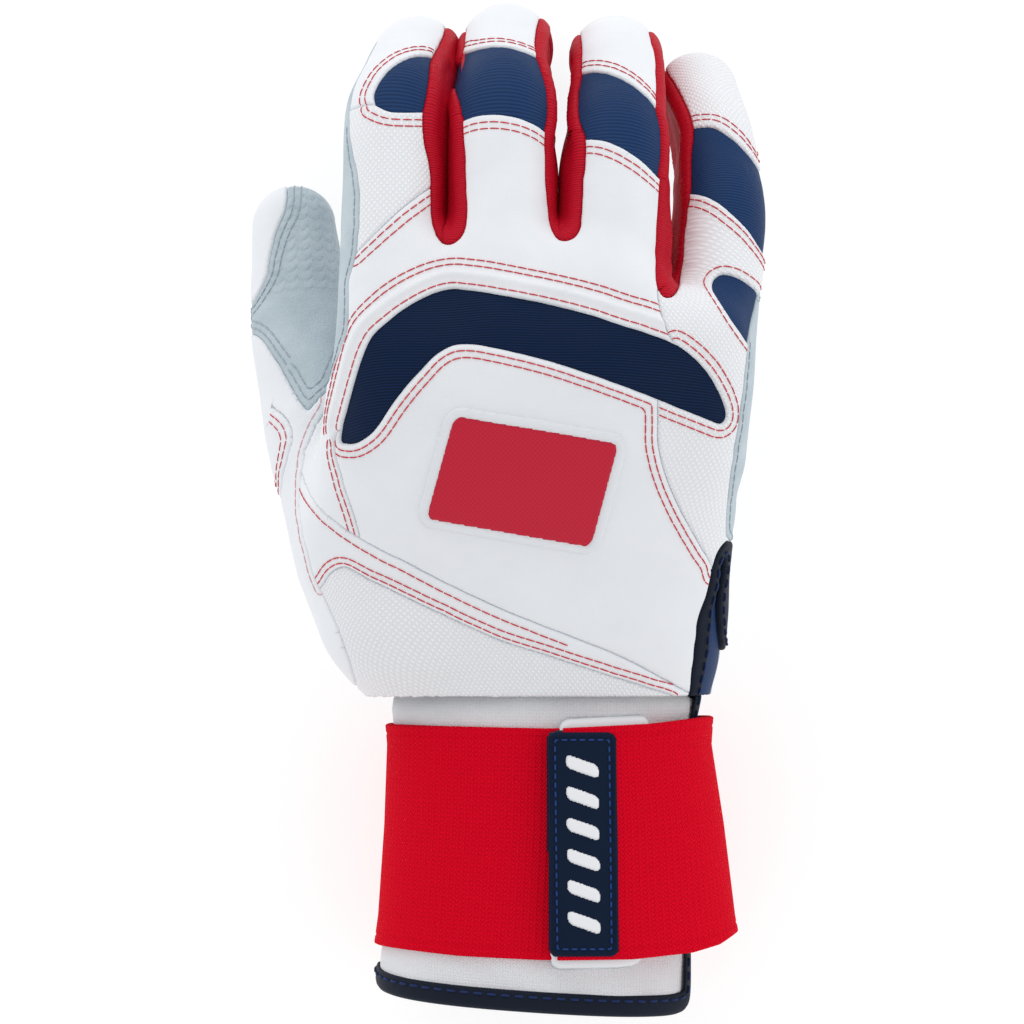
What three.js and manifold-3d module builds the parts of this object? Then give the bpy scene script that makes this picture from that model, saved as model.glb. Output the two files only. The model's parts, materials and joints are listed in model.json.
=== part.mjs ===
// A batting glove for the right hand, lying palm down with its fingers curled.
// X runs across the hand towards the little finger, Y towards the fingertips, Z up.
// The glove is a hollow skin of sewn panels. The skin is made once, as the space between
// an outer and an inner form of the hand, and the seams then cut it into its panels.
import * as THREE from 'three';
import { mergeVertices } from 'three/addons/utils/BufferGeometryUtils.js';
import Module from 'manifold-3d';

const wasm = await Module();
wasm.setup();

// Driving dimensions, in millimetres
const gloveLength = 228;
const gloveWidth = 116;
const skinThickness = 1.8;
const seamGap = 0.3;
const overrun = 4;
const badgeThickness = 1.4;

// The back of the hand, from the wrist to the knuckles. Each row is the place along the
// glove, the middle across it and the half breadth, as shares of the length and the width.
const handShares = [
  [-0.181, 0.049, 0.320],
  [-0.145, 0.045, 0.354],
  [-0.105, 0.043, 0.383],
  [-0.056, 0.032, 0.403],
  [-0.007, 0.026, 0.417],
  [0.042, 0.036, 0.415],
  [0.092, 0.049, 0.409],
  [0.131, 0.061, 0.405],
  [0.171, 0.074, 0.400],
  [0.197, 0.081, 0.370],
  [0.212, 0.081, 0.300],
];
// The height of the middle of the hand at those places, and its half depth
const knuckleHeight = 61;
const knuckleHalfDepth = 17;
const handHeightShares = [0.46, 0.49, 0.54, 0.61, 0.70, 0.79, 0.87, 0.94, 0.985, 0.99, 0.97];
const handDepthShares = [1.34, 1.38, 1.41, 1.38, 1.34, 1.26, 1.16, 1.06, 0.98, 0.84, 0.55];
const handRoundness = 2.5;

// The fingers. Root is the bone centre of the knuckle, as shares of the glove's width and
// length and of the knuckle height. Slopes are below the horizontal, turns are to the right.
const fingers = {
  index: {
    rootShares: [-0.230, 0.178, 0.975],
    boneLengths: [50.5, 28, 12],
    slopes: [15, 62, 84],
    turns: [1.1, 4, 4],
    radii: [13.4, 11.3, 10.3, 9.2],
  },
  middle: {
    rootShares: [-0.022, 0.194, 1],
    boneLengths: [47, 29, 13.3],
    slopes: [15, 62, 85],
    turns: [0.9, 1.5, 1.5],
    radii: [13.4, 11.6, 10.6, 9.4],
  },
  ring: {
    rootShares: [0.181, 0.177, 0.98],
    boneLengths: [43.5, 28, 17],
    slopes: [15, 53, 78],
    turns: [3.4, -1.4, -1.4],
    radii: [13.1, 11.5, 10.3, 9.2],
  },
  little: {
    rootShares: [0.375, 0.126, 0.9],
    boneLengths: [42.5, 22, 19.2],
    slopes: [20, 39, 70],
    turns: [7, -7, -9],
    radii: [11.8, 9.4, 8.8, 8.2],
  },
};
const thumb = {
  rootShares: [-0.274, -0.036, 0.525],
  boneLengths: [27.9, 26.6, 25.6],
  slopes: [16.7, 18.6, 16.4],
  turns: [-22.7, -10.8, -2],
  radii: [18.5, 12.3, 10.6, 8.6],
};
const fingerBend = 9;
const thumbBend = 6;

// The stretch zones round each finger joint: half their length along the bone, and how far
// their borders lean, which makes them short on the back and long on the palm side
const fingerZoneHalf = 8.5;
const fingerZoneLean = 4.5;
const thumbZoneHalf = 7;
// The palm crease under the knuckles: half its length, and its place and direction
const palmCreaseHalf = 10.3;
const knuckleAxisShares = [[-0.230, 0.174], [0.365, 0.138]];

// The angles round a finger, from its back, at which the panels end
const backPanelAngle = 52;
const sidePanelAngle = 128;
const tipTuck = 1.6;
const sidePanelTipShare = 0.2;
const toolReachShare = 1.5;
const boneSteps = 240;

// The wrist: the knitted cuff, from its hem at the hand to its bound edge
const cuffRows = [
  [-0.1835, 0.047, 0.312],
  [-0.230, 0.058, 0.306],
  [-0.310, 0.052, 0.302],
  [-0.400, 0.045, 0.303],
  [-0.440, 0.042, 0.308],
  [-0.474, 0.042, 0.312],
];
const cuffHeight = 25.4;
const cuffHalfDepth = 23.4;
const cuffRoundness = 2.3;
const cuffTilt = 3;
const bindingWidth = 4.6;
const bindingThickness = 1.3;

// The elastic strap and its tab
const strapWidth = 50.8;
const strapThickness = 1.7;
const strapTopShare = -0.2115;
const padThickness = 0.8;
const padOverhang = 2.6;
const tabThickness = 1.9;
const strapFlareTop = 1.2;
const strapFlareBottom = 9.2;
const wrapStartAngle = 38;
const wrapLiftAngle = 300;
const wrapTopAngle = 345;
const strapEdgeAngle = 354;
const strapFoldShare = 0.292;
const tabShares = [0.072, 0.2065];
const padShares = [0.070, 0.250];

// Seam lines on the back of the glove, as shares of its width and length
const dorsalShares = [
  [-0.262, 0.53], [-0.282, 0.407], [-0.292, 0.308], [-0.293, 0.251], [-0.313, 0.210],
  [-0.352, 0.166], [-0.410, 0.111], [-0.530, 0.072], [-0.530, -0.204], [0.429, -0.204],
  [0.433, -0.105], [0.435, -0.046], [0.437, 0.013], [0.443, 0.062], [0.448, 0.111],
  [0.456, 0.161], [0.462, 0.210], [0.466, 0.259], [0.462, 0.318], [0.450, 0.377],
  [0.435, 0.53],
];
const bandShares = [
  [-0.550, 0.069], [-0.297, 0.069], [-0.268, 0.079], [-0.230, 0.107], [-0.183, 0.134],
  [-0.144, 0.154], [-0.115, 0.163], [-0.077, 0.165], [0.026, 0.154], [0.140, 0.135],
  [0.243, 0.115], [0.305, 0.104], [0.408, 0.084], [0.520, 0.072], [0.520, 0.109],
  [0.414, 0.111], [0.396, 0.122], [0.367, 0.143], [0.311, 0.167], [0.282, 0.171],
  [0.140, 0.194], [0.026, 0.208], [-0.030, 0.213], [-0.121, 0.219], [-0.150, 0.215],
  [-0.201, 0.200], [-0.268, 0.171], [-0.297, 0.138], [-0.550, 0.138],
];
const handSideShares = [
  [-0.550, 0.103], [-0.313, 0.103], [-0.216, 0.166], [-0.119, 0.190], [0.026, 0.180],
  [0.140, 0.165], [0.268, 0.141], [0.404, 0.100], [0.540, 0.092], [0.540, -0.243],
  [-0.550, -0.243],
];
const indexMeshShares = [
  [-0.342, 0.220], [-0.292, 0.252], [-0.216, 0.287], [-0.154, 0.314], [-0.125, 0.328],
  [-0.125, 0.53], [-0.342, 0.53],
];
const littleMeshShares = [
  [0.278, 0.249], [0.278, 0.210], [0.292, 0.182], [0.346, 0.156], [0.388, 0.131],
  [0.416, 0.100], [0.530, 0.100], [0.530, 0.53], [0.278, 0.53],
];
const ulnarPatchShares = [
  [0.386, 0.229], [0.410, 0.235], [0.474, 0.216], [0.448, 0.163], [0.400, 0.204],
  [0.386, 0.217],
];
const backShares = [
  [-0.336, 0.180], [-0.336, 0.072], [-0.330, 0.045], [-0.301, -0.006], [-0.288, -0.032],
  [-0.191, -0.066], [-0.046, -0.103], [0.117, -0.137], [0.228, -0.159], [0.292, -0.174],
  [0.346, -0.174], [0.365, -0.125], [0.379, -0.046], [0.311, 0.018], [0.280, 0.064],
  [0.280, 0.180],
];
const ulnarMeshShares = [
  [0.280, 0.180], [0.280, 0.064], [0.311, 0.018], [0.379, -0.046], [0.365, -0.125],
  [0.346, -0.174], [0.346, -0.214], [0.559, -0.214], [0.559, 0.180],
];
const heelMeshShares = [
  [-0.560, -0.125], [-0.348, -0.076], [-0.324, -0.063], [-0.235, -0.085], [-0.100, -0.117],
  [0.063, -0.148], [0.255, -0.181], [0.255, -0.230], [-0.560, -0.230],
];
const sweepShares = [
  [-0.560, 0.019], [-0.404, 0.037], [-0.383, 0.012], [-0.348, -0.006], [-0.288, -0.032],
  [-0.191, -0.066], [-0.046, -0.103], [0.117, -0.137], [0.228, -0.159], [0.292, -0.174],
  [0.346, -0.174], [0.346, -0.230], [-0.560, -0.230],
];
const gussetShares = [
  [0.408, -0.042], [0.394, -0.052], [0.386, -0.078], [0.373, -0.126], [0.361, -0.165],
  [0.350, -0.214], [0.396, -0.214], [0.408, -0.145], [0.416, -0.103], [0.419, -0.052],
];
const slitBindingShares = [
  [0.412, -0.028], [0.390, -0.038], [0.379, -0.076], [0.365, -0.125], [0.354, -0.165],
  [0.340, -0.214], [0.408, -0.214], [0.419, -0.145], [0.425, -0.103], [0.429, -0.042],
];
const badgeShares = [
  [-0.104, 0.106], [0.210, 0.079], [0.222, 0.066], [0.172, -0.030], [0.150, -0.041],
  [-0.168, -0.013], [-0.181, -0.001], [-0.128, 0.096],
];
const crotchShares = {
  fourchette_index_middle: [
    [-0.154, 0.53], [-0.158, 0.284], [-0.146, 0.266], [-0.119, 0.260], [-0.092, 0.266],
    [-0.080, 0.284], [-0.088, 0.53],
  ],
  fourchette_middle_ring: [
    [0.067, 0.53], [0.063, 0.284], [0.075, 0.266], [0.098, 0.260], [0.121, 0.266],
    [0.133, 0.284], [0.129, 0.53],
  ],
  fourchette_ring_little: [
    [0.292, 0.53], [0.278, 0.328], [0.272, 0.240], [0.278, 0.218], [0.303, 0.207],
    [0.328, 0.218], [0.344, 0.240], [0.348, 0.308], [0.338, 0.387], [0.319, 0.53],
  ],
};

// Materials
function material(color, roughness) {
  return new THREE.MeshStandardMaterial({ color, roughness, metalness: 0 });
}
const materials = {
  leather: material('#cbd5da', 0.55),
  backFabric: material('#eceef0', 0.6),
  mesh: material('#e3e7ea', 0.8),
  navy: material('#1b3263', 0.75),
  binding: material('#1a2233', 0.85),
  red: material('#c4141f', 0.7),
  elastic: material('#e0101e', 0.75),
  knit: material('#f2f3f4', 0.9),
  pile: material('#c9cdd0', 1),
  badge: material('#d3121f', 0.5),
};

const glove = new THREE.Group();

// Solids
function solidOf(geometry) {
  const bare = geometry.clone();
  bare.deleteAttribute('normal');
  bare.deleteAttribute('uv');
  const merged = mergeVertices(bare, seamGap / 1000);
  const positions = new Float32Array(merged.attributes.position.array);
  const indices = new Uint32Array(merged.index.array);
  return new wasm.Manifold(
    new wasm.Mesh({ numProp: 3, vertProperties: positions, triVerts: indices }),
  );
}

function largest(solid) {
  const pieces = solid.decompose();
  pieces.sort((a, b) => b.volume() - a.volume());
  return pieces[0];
}

function add(name, solid, look) {
  const mesh = largest(solid).getMesh();
  const geometry = new THREE.BufferGeometry();
  const positions = new THREE.BufferAttribute(new Float32Array(mesh.vertProperties), 3);
  geometry.setAttribute('position', positions);
  geometry.setIndex(new THREE.BufferAttribute(new Uint32Array(mesh.triVerts), 1));
  geometry.computeVertexNormals();
  const piece = new THREE.Mesh(geometry, look);
  piece.name = name;
  glove.add(piece);
}

// A closed form through rings of points, with a flat end at each end
function loft(rings) {
  const positions = [];
  const indices = [];
  const count = rings[0].length;
  for (const ring of rings) {
    for (const point of ring) {
      positions.push(point.x, point.y, point.z);
    }
  }
  for (let row = 0; row < rings.length - 1; row += 1) {
    for (let i = 0; i < count; i += 1) {
      const a = row * count + i;
      const b = row * count + ((i + 1) % count);
      indices.push(a, b, b + count, a, b + count, a + count);
    }
  }
  for (const row of [0, rings.length - 1]) {
    const middle = rings[row].reduce((sum, point) => sum.add(point), new THREE.Vector3());
    middle.divideScalar(count);
    const centre = positions.length / 3;
    positions.push(middle.x, middle.y, middle.z);
    for (let i = 0; i < count; i += 1) {
      const a = row * count + i;
      const b = row * count + ((i + 1) % count);
      indices.push(centre, row ? a : b, row ? b : a);
    }
  }
  const geometry = new THREE.BufferGeometry();
  geometry.setAttribute('position', new THREE.Float32BufferAttribute(positions, 3));
  geometry.setIndex(indices);
  const solid = solidOf(geometry);
  if (solid.volume() > 0) {
    return solid;
  }
  geometry.setIndex(indices.reverse());
  return solidOf(geometry);
}

// A closed band round the wrist: a profile of [place along, height off the cuff] points
// carried round the angles given, as a ring or with two ends
function sweep(stations) {
  return loft(stations);
}

function outline(shares) {
  return shares.map(([u, v]) => new THREE.Vector2(u * gloveWidth, v * gloveLength));
}

// An outline moved outwards, or inwards where the distance is below zero
function grown(points, distance) {
  const area = THREE.ShapeUtils.area(points);
  const outward = area > 0 ? distance : -distance;
  return points.map((point, i) => {
    const before = points[(i + points.length - 1) % points.length];
    const after = points[(i + 1) % points.length];
    const first = point.clone().sub(before).normalize();
    const second = after.clone().sub(point).normalize();
    const normal = new THREE.Vector2(first.y + second.y, -first.x - second.x);
    const square = normal.lengthSq() / 2;
    return point.clone().addScaledVector(normal, outward / Math.max(square, 0.3));
  });
}

// A straight-sided cutter of an outline, from the table up through the whole glove
function cutter(shares, growth = 0) {
  const shape = new THREE.Shape(grown(outline(shares), growth));
  const reach = knuckleHeight * toolReachShare + 2 * overrun;
  const geometry = new THREE.ExtrudeGeometry(shape, { depth: reach, bevelEnabled: false });
  geometry.translate(0, 0, -overrun);
  return solidOf(geometry);
}

// The hand's form
const ringSides = 26;

function superRing(place, middle, halfBreadth, height, halfDepth, roundness, sides) {
  const ring = [];
  for (let i = 0; i < sides; i += 1) {
    const angle = (i / sides) * 2 * Math.PI;
    const across = Math.sign(Math.cos(angle)) * Math.abs(Math.cos(angle)) ** (2 / roundness);
    const up = Math.sign(Math.sin(angle)) * Math.abs(Math.sin(angle)) ** (2 / roundness);
    ring.push(new THREE.Vector3(middle + halfBreadth * across, place, height + halfDepth * up));
  }
  return ring;
}

function handForm(growth, openEnd) {
  const rings = handShares.map(([v, u, half], i) => superRing(
    v * gloveLength,
    u * gloveWidth,
    half * gloveWidth + growth,
    handHeightShares[i] * knuckleHeight,
    handDepthShares[i] * knuckleHalfDepth + growth,
    handRoundness,
    ringSides,
  ));
  const front = rings[rings.length - 1].map((point) => point.clone());
  front.forEach((point) => { point.y += growth; });
  rings[rings.length - 1] = front;
  if (openEnd) {
    const wrist = rings[0].map((point) => point.clone());
    wrist.forEach((point) => { point.y -= overrun; });
    rings.unshift(wrist);
  }
  return loft(rings);
}

// The line of the bones of a finger, with a direction that eases round at each joint
function boneLine(finger, bend) {
  const total = finger.boneLengths.reduce((sum, length) => sum + length);
  const bends = [finger.boneLengths[0], finger.boneLengths[0] + finger.boneLengths[1]];
  const [u, v, w] = finger.rootShares;
  const start = new THREE.Vector3(u * gloveWidth, v * gloveLength, w * knuckleHeight);
  const step = total / boneSteps;
  const points = [];
  const frames = [];
  let point = start.clone();
  for (let i = 0; i <= boneSteps * 1.4; i += 1) {
    const along = i * step;
    let slope = finger.slopes[0];
    let turn = finger.turns[0];
    for (const joint of [0, 1]) {
      const share = THREE.MathUtils.smoothstep(along, bends[joint] - bend, bends[joint] + bend);
      slope += share * (finger.slopes[joint + 1] - finger.slopes[joint]);
      turn += share * (finger.turns[joint + 1] - finger.turns[joint]);
    }
    const fall = THREE.MathUtils.degToRad(slope);
    const yaw = THREE.MathUtils.degToRad(turn);
    const ahead = new THREE.Vector3(
      Math.sin(yaw) * Math.cos(fall),
      Math.cos(yaw) * Math.cos(fall),
      -Math.sin(fall),
    );
    const side = new THREE.Vector3(Math.cos(yaw), -Math.sin(yaw), 0);
    const up = side.clone().cross(ahead);
    points.push(point.clone());
    frames.push({ ahead, side, up });
    point = point.clone().addScaledVector(ahead, step);
  }
  return { finger, points, frames, step, total, joints: bends };
}

function stationAt(line, along) {
  const place = Math.max(0, along) / line.step;
  const i = Math.min(Math.floor(place), line.points.length - 2);
  const centre = line.points[i].clone().lerp(line.points[i + 1], place - i);
  if (along < 0) {
    centre.addScaledVector(line.frames[0].ahead, along);
  }
  return { centre, ...line.frames[i] };
}

function radiusAt(line, along) {
  const { radii } = line.finger;
  const knots = [0, ...line.joints, line.total];
  if (along <= 0) {
    return radii[0];
  }
  for (let i = 0; i < 3; i += 1) {
    if (along <= knots[i + 1]) {
      const share = (along - knots[i]) / (knots[i + 1] - knots[i]);
      return radii[i] + share * (radii[i + 1] - radii[i]);
    }
  }
  return radii[3];
}

// A ring round a finger, at one place or leaning from the back to the palm side
function fingerRing(line, along, lean, growth, sides) {
  const ring = [];
  for (let i = 0; i < sides; i += 1) {
    const angle = (i / sides) * 2 * Math.PI;
    const station = stationAt(line, along + lean * Math.cos(angle));
    const radius = radiusAt(line, along) + growth;
    const point = station.centre.clone();
    point.addScaledVector(station.up, radius * Math.cos(angle));
    point.addScaledVector(station.side, radius * Math.sin(angle));
    ring.push(point);
  }
  return ring;
}

const fingerSides = 12;
const wedgeRows = 5;

function fingerTube(line, from, to, growth, rows) {
  const rings = [];
  for (let row = 0; row <= rows; row += 1) {
    const share = row / rows;
    const along = from.along + share * (to.along - from.along);
    const lean = from.lean + share * (to.lean - from.lean);
    rings.push(fingerRing(line, along, lean, growth, fingerSides));
  }
  return loft(rings);
}

// The end of a finger, from a leaning border to its round tip
function fingerEnd(line, from, growth) {
  const rings = [];
  const rows = 4;
  for (let row = 0; row <= rows; row += 1) {
    const share = row / rows;
    const along = from.along + share * (line.total - from.along);
    rings.push(fingerRing(line, along, from.lean * (1 - share), growth, fingerSides));
  }
  const tip = stationAt(line, line.total);
  const radius = line.finger.radii[3] + growth;
  for (const angle of [34, 66]) {
    const turn = THREE.MathUtils.degToRad(angle);
    const ring = [];
    for (let i = 0; i < fingerSides; i += 1) {
      const round = (i / fingerSides) * 2 * Math.PI;
      const point = tip.centre.clone();
      point.addScaledVector(tip.ahead, radius * Math.sin(turn));
      point.addScaledVector(tip.up, radius * Math.cos(turn) * Math.cos(round));
      point.addScaledVector(tip.side, radius * Math.cos(turn) * Math.sin(round));
      ring.push(point);
    }
    rings.push(ring);
  }
  return loft(rings);
}

// A cutter that follows a finger and takes the angles between two sides of its back
function wedge(line, fromAngle, toAngle, from, to, tuck) {
  const rows = wedgeRows;
  const rings = [];
  const reach = line.finger.radii[0] + overrun / 2;
  for (let row = 0; row <= rows; row += 1) {
    const station = stationAt(line, from + (row / rows) * (to - from));
    const ring = [station.centre.clone().addScaledVector(station.up, -tuck)];
    for (let i = 0; i <= 3; i += 1) {
      const angle = THREE.MathUtils.degToRad(fromAngle + (i / 3) * (toAngle - fromAngle));
      const point = station.centre.clone();
      point.addScaledVector(station.up, reach * Math.cos(angle));
      point.addScaledVector(station.side, reach * Math.sin(angle));
      ring.push(point);
    }
    rings.push(ring);
  }
  return loft(rings);
}

const lines = {};
for (const [name, finger] of Object.entries(fingers)) {
  lines[name] = boneLine(finger, fingerBend);
}
const thumbLine = boneLine(thumb, thumbBend);

// The skin of the hand, the finger roots and the thumb root
const rootEnd = {};
for (const [name, line] of Object.entries(lines)) {
  rootEnd[name] = { along: line.joints[0] - fingerZoneHalf, lean: fingerZoneLean };
}
const thumbRootEnd = { along: thumbLine.joints[0] - thumbZoneHalf, lean: 0 };

function wholeForm(growth, openEnds) {
  let form = handForm(growth, openEnds);
  const extra = openEnds ? overrun : 0;
  for (const [name, line] of Object.entries(lines)) {
    const from = { along: -overrun / 2, lean: 0 };
    const to = { along: rootEnd[name].along + extra, lean: rootEnd[name].lean };
    form = form.add(fingerTube(line, from, to, growth, 2));
  }
  const from = { along: 0, lean: 0 };
  const to = { along: thumbRootEnd.along + extra, lean: 0 };
  return form.add(fingerTube(thumbLine, from, to, growth, 1));
}

const skin = wholeForm(0, false).subtract(wholeForm(-skinThickness, true));

// The half of the skin above the seam that runs round the edge of the hand
function upperSide(drop) {
  const shape = new THREE.Shape();
  const reach = knuckleHeight * toolReachShare + overrun;
  const start = handShares[0][0] * gloveLength - 2 * overrun;
  shape.moveTo(start, reach);
  shape.lineTo(start, handHeightShares[0] * knuckleHeight - drop);
  handShares.forEach(([v], i) => {
    shape.lineTo(v * gloveLength, handHeightShares[i] * knuckleHeight - drop);
  });
  const front = handShares[handShares.length - 1][0] * gloveLength;
  shape.lineTo(front, reach);
  const geometry = new THREE.ExtrudeGeometry(shape, { depth: 2 * gloveWidth, bevelEnabled: false });
  const matrix = new THREE.Matrix4();
  matrix.makeBasis(
    new THREE.Vector3(0, 1, 0),
    new THREE.Vector3(0, 0, 1),
    new THREE.Vector3(1, 0, 0),
  );
  geometry.applyMatrix4(matrix);
  geometry.translate(-gloveWidth, 0, 0);
  let side = solidOf(geometry);
  for (const line of Object.values(lines)) {
    const reachAcross = line.finger.radii[0] * 0.98;
    const rings = [0, line.joints[0] - fingerBend, line.joints[0]].map((along) => {
      const station = stationAt(line, along);
      const low = -drop;
      const high = line.finger.radii[0] + overrun;
      const corners = [[-1, low], [1, low], [1, high], [-1, high]];
      return corners.map(([across, up]) => {
        const point = station.centre.clone();
        point.addScaledVector(station.side, across * reachAcross);
        return point.addScaledVector(station.up, up);
      });
    });
    side = side.add(loft(rings));
  }
  return side;
}

const backSide = skin.intersect(cutter(dorsalShares)).intersect(upperSide(0));
const palmSide = skin.subtract(cutter(dorsalShares, seamGap).intersect(upperSide(seamGap)));

// The red side strips between the fingers take their share of both sides
let backRest = backSide;
let palmRest = palmSide;
for (const [name, shares] of Object.entries(crotchShares)) {
  const fullSkin = skin.intersect(cutter(shares));
  add(name, fullSkin, materials.red);
  backRest = backRest.subtract(cutter(shares, seamGap));
  palmRest = palmRest.subtract(cutter(shares, seamGap));
}

// The back: the stretch band over the knuckles, and the panels on both sides of it
add('knuckle_flex_band', backRest.intersect(cutter(bandShares)), materials.navy);
const panels = backRest.subtract(cutter(bandShares, seamGap));
const fingerSide = panels.subtract(cutter(handSideShares));
const handSide = panels.intersect(cutter(handSideShares));

const ulnarCut = cutter(ulnarPatchShares, seamGap);
add('ulnar_flex_patch', fingerSide.intersect(cutter(ulnarPatchShares)), materials.navy);
const indexMesh = fingerSide.intersect(cutter(indexMeshShares));
add('index_mesh_panel', indexMesh, materials.mesh);
const littleMesh = fingerSide.intersect(cutter(littleMeshShares)).subtract(ulnarCut);
add('little_mesh_panel', littleMesh, materials.mesh);
const bridge = fingerSide
  .subtract(cutter(indexMeshShares, seamGap))
  .subtract(cutter(littleMeshShares, seamGap));
add('bridge_panel', bridge, materials.backFabric);

const slitCut = cutter(slitBindingShares, seamGap);
add('back_panel', handSide.intersect(cutter(backShares)).subtract(slitCut), materials.backFabric);
const restOfHand = handSide.subtract(cutter(backShares, seamGap));
const ulnarMesh = restOfHand.intersect(cutter(ulnarMeshShares)).subtract(slitCut);
add('ulnar_mesh_panel', ulnarMesh, materials.mesh);
const leftOfHand = restOfHand.subtract(cutter(ulnarMeshShares, seamGap));
add('heel_mesh_panel', leftOfHand.intersect(cutter(heelMeshShares)), materials.mesh);
const aboveHeel = leftOfHand.subtract(cutter(heelMeshShares, seamGap));
add('sweep_panel', aboveHeel.intersect(cutter(sweepShares)), materials.backFabric);
const sidePanel = aboveHeel.subtract(cutter(sweepShares, seamGap));
add('thumb_side_panel', sidePanel, materials.backFabric);

// The slit at the little finger's edge of the wrist: a ribbed gusset in a bound opening
add('slit_gusset', handSide.intersect(cutter(gussetShares)), materials.navy);
const slitBinding = handSide
  .intersect(cutter(slitBindingShares))
  .subtract(cutter(gussetShares, seamGap));
add('slit_binding', slitBinding, materials.binding);

// The raised badge on the back panel
const badge = handForm(seamGap + badgeThickness, false)
  .subtract(handForm(seamGap, true))
  .intersect(cutter(badgeShares))
  .intersect(upperSide(0));
add('badge', badge, materials.badge);

// The palm: the crease under the knuckles between two upright planes along the knuckles
const [axisStart, axisEnd] = outline(knuckleAxisShares);
const axisAlong = axisEnd.clone().sub(axisStart).normalize();
const axisNormal = [-axisAlong.y, axisAlong.x, 0];
const axisOffset = axisStart.x * axisNormal[0] + axisStart.y * axisNormal[1];
const backwards = axisNormal.map((value) => -value);

function beyond(solid, distance) {
  return solid.trimByPlane(axisNormal, axisOffset + distance);
}

function before(solid, distance) {
  return solid.trimByPlane(backwards, -axisOffset - distance);
}

add('finger_palm_leather', beyond(palmRest, palmCreaseHalf), materials.leather);
const crease = before(beyond(palmRest, seamGap - palmCreaseHalf), palmCreaseHalf - seamGap);
add('palm_crease', crease, materials.leather);
add('palm_leather', before(palmRest, -palmCreaseHalf), materials.leather);

// The fingers beyond their roots
function shell(line, from, to, rows) {
  const outer = fingerTube(line, from, to, 0, rows);
  const inner = fingerTube(
    line,
    { along: from.along - overrun, lean: from.lean },
    { along: to.along + overrun, lean: to.lean },
    -skinThickness,
    rows,
  );
  return outer.subtract(inner);
}

function endShell(line, from) {
  const outer = fingerEnd(line, from, 0);
  const inner = fingerEnd(line, { along: from.along - overrun, lean: from.lean }, -skinThickness);
  return outer.subtract(inner);
}

const sideStrips = {
  index: { left: false, right: true },
  middle: { left: true, right: true },
  ring: { left: true, right: true },
  little: { left: true, right: false },
};

for (const [name, line] of Object.entries(lines)) {
  const middle = line.joints[0];
  const zoneFrom = { along: middle - fingerZoneHalf + seamGap, lean: fingerZoneLean };
  const zoneTo = { along: middle + fingerZoneHalf - seamGap, lean: -fingerZoneLean };
  const zone = shell(line, zoneFrom, zoneTo, 3);
  const nearEnd = middle - 2 * fingerZoneHalf;
  const farEnd = line.total + line.finger.radii[3] + overrun;
  const width = backPanelAngle;
  const rightEdge = THREE.MathUtils.radToDeg(seamGap / line.finger.radii[1]);
  const patchCut = wedge(line, -width, width, nearEnd, farEnd, 0);
  const patchGap = wedge(line, -width - rightEdge, width + rightEdge, nearEnd, farEnd, seamGap);
  add(`${name}_flex_patch`, zone.intersect(patchCut), materials.navy);
  add(`${name}_crease`, zone.subtract(patchGap), materials.leather);

  const end = endShell(line, { along: middle + fingerZoneHalf, lean: -fingerZoneLean });
  const backCut = wedge(line, -width, width, nearEnd, farEnd, tipTuck);
  const backGap = wedge(line, -width - rightEdge, width + rightEdge, nearEnd, farEnd, tipTuck + seamGap);
  add(`${name}_tip_back`, end.intersect(backCut), materials.backFabric);
  let rest = end.subtract(backGap);
  const stripEnd = line.total + sidePanelTipShare * line.finger.radii[3];
  for (const side of ['left', 'right']) {
    if (sideStrips[name][side]) {
      const sign = side === 'left' ? -1 : 1;
      const angles = [sign * width, sign * sidePanelAngle].sort((a, b) => a - b);
      const cut = wedge(line, angles[0], angles[1], nearEnd, stripEnd, 0);
      const gapCut = wedge(
        line,
        angles[0] - rightEdge,
        angles[1] + rightEdge,
        nearEnd,
        stripEnd + seamGap,
        0,
      );
      add(`${name}_tip_strip_${side}`, rest.intersect(cut), materials.red);
      rest = rest.subtract(gapCut);
    }
  }
  add(`${name}_tip_leather`, rest, materials.leather);
}

// The thumb beyond its root
const [thumbKnuckle, thumbJoint] = thumbLine.joints;
function thumbBorder(along) {
  return { along, lean: 0 };
}
const rootCrease = shell(
  thumbLine,
  thumbBorder(thumbKnuckle - thumbZoneHalf + seamGap),
  thumbBorder(thumbKnuckle + thumbZoneHalf - seamGap),
  3,
);
add('thumb_root_crease', rootCrease, materials.leather);
const thumbBase = shell(
  thumbLine,
  thumbBorder(thumbKnuckle + thumbZoneHalf),
  thumbBorder(thumbJoint - thumbZoneHalf),
  2,
);
const thumbEnd = thumbLine.total + thumb.radii[3] + overrun;
const thumbBack = wedge(thumbLine, -90, 60, 0, thumbEnd, tipTuck);
const thumbGap = THREE.MathUtils.radToDeg(seamGap / thumb.radii[3]);
const thumbBackGap = wedge(
  thumbLine,
  -90 - thumbGap,
  60 + thumbGap,
  0,
  thumbEnd,
  tipTuck + seamGap,
);
add('thumb_back', thumbBase.intersect(thumbBack), materials.leather);
add('thumb_leather', thumbBase.subtract(thumbBackGap), materials.leather);
const jointCrease = shell(
  thumbLine,
  thumbBorder(thumbJoint - thumbZoneHalf + seamGap),
  thumbBorder(thumbJoint + thumbZoneHalf - seamGap),
  3,
);
add('thumb_joint_crease', jointCrease, materials.leather);
const thumbTip = endShell(thumbLine, thumbBorder(thumbJoint + thumbZoneHalf));
add('thumb_tip_back', thumbTip.intersect(thumbBack), materials.leather);
add('thumb_tip_leather', thumbTip.subtract(thumbBackGap), materials.leather);

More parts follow.
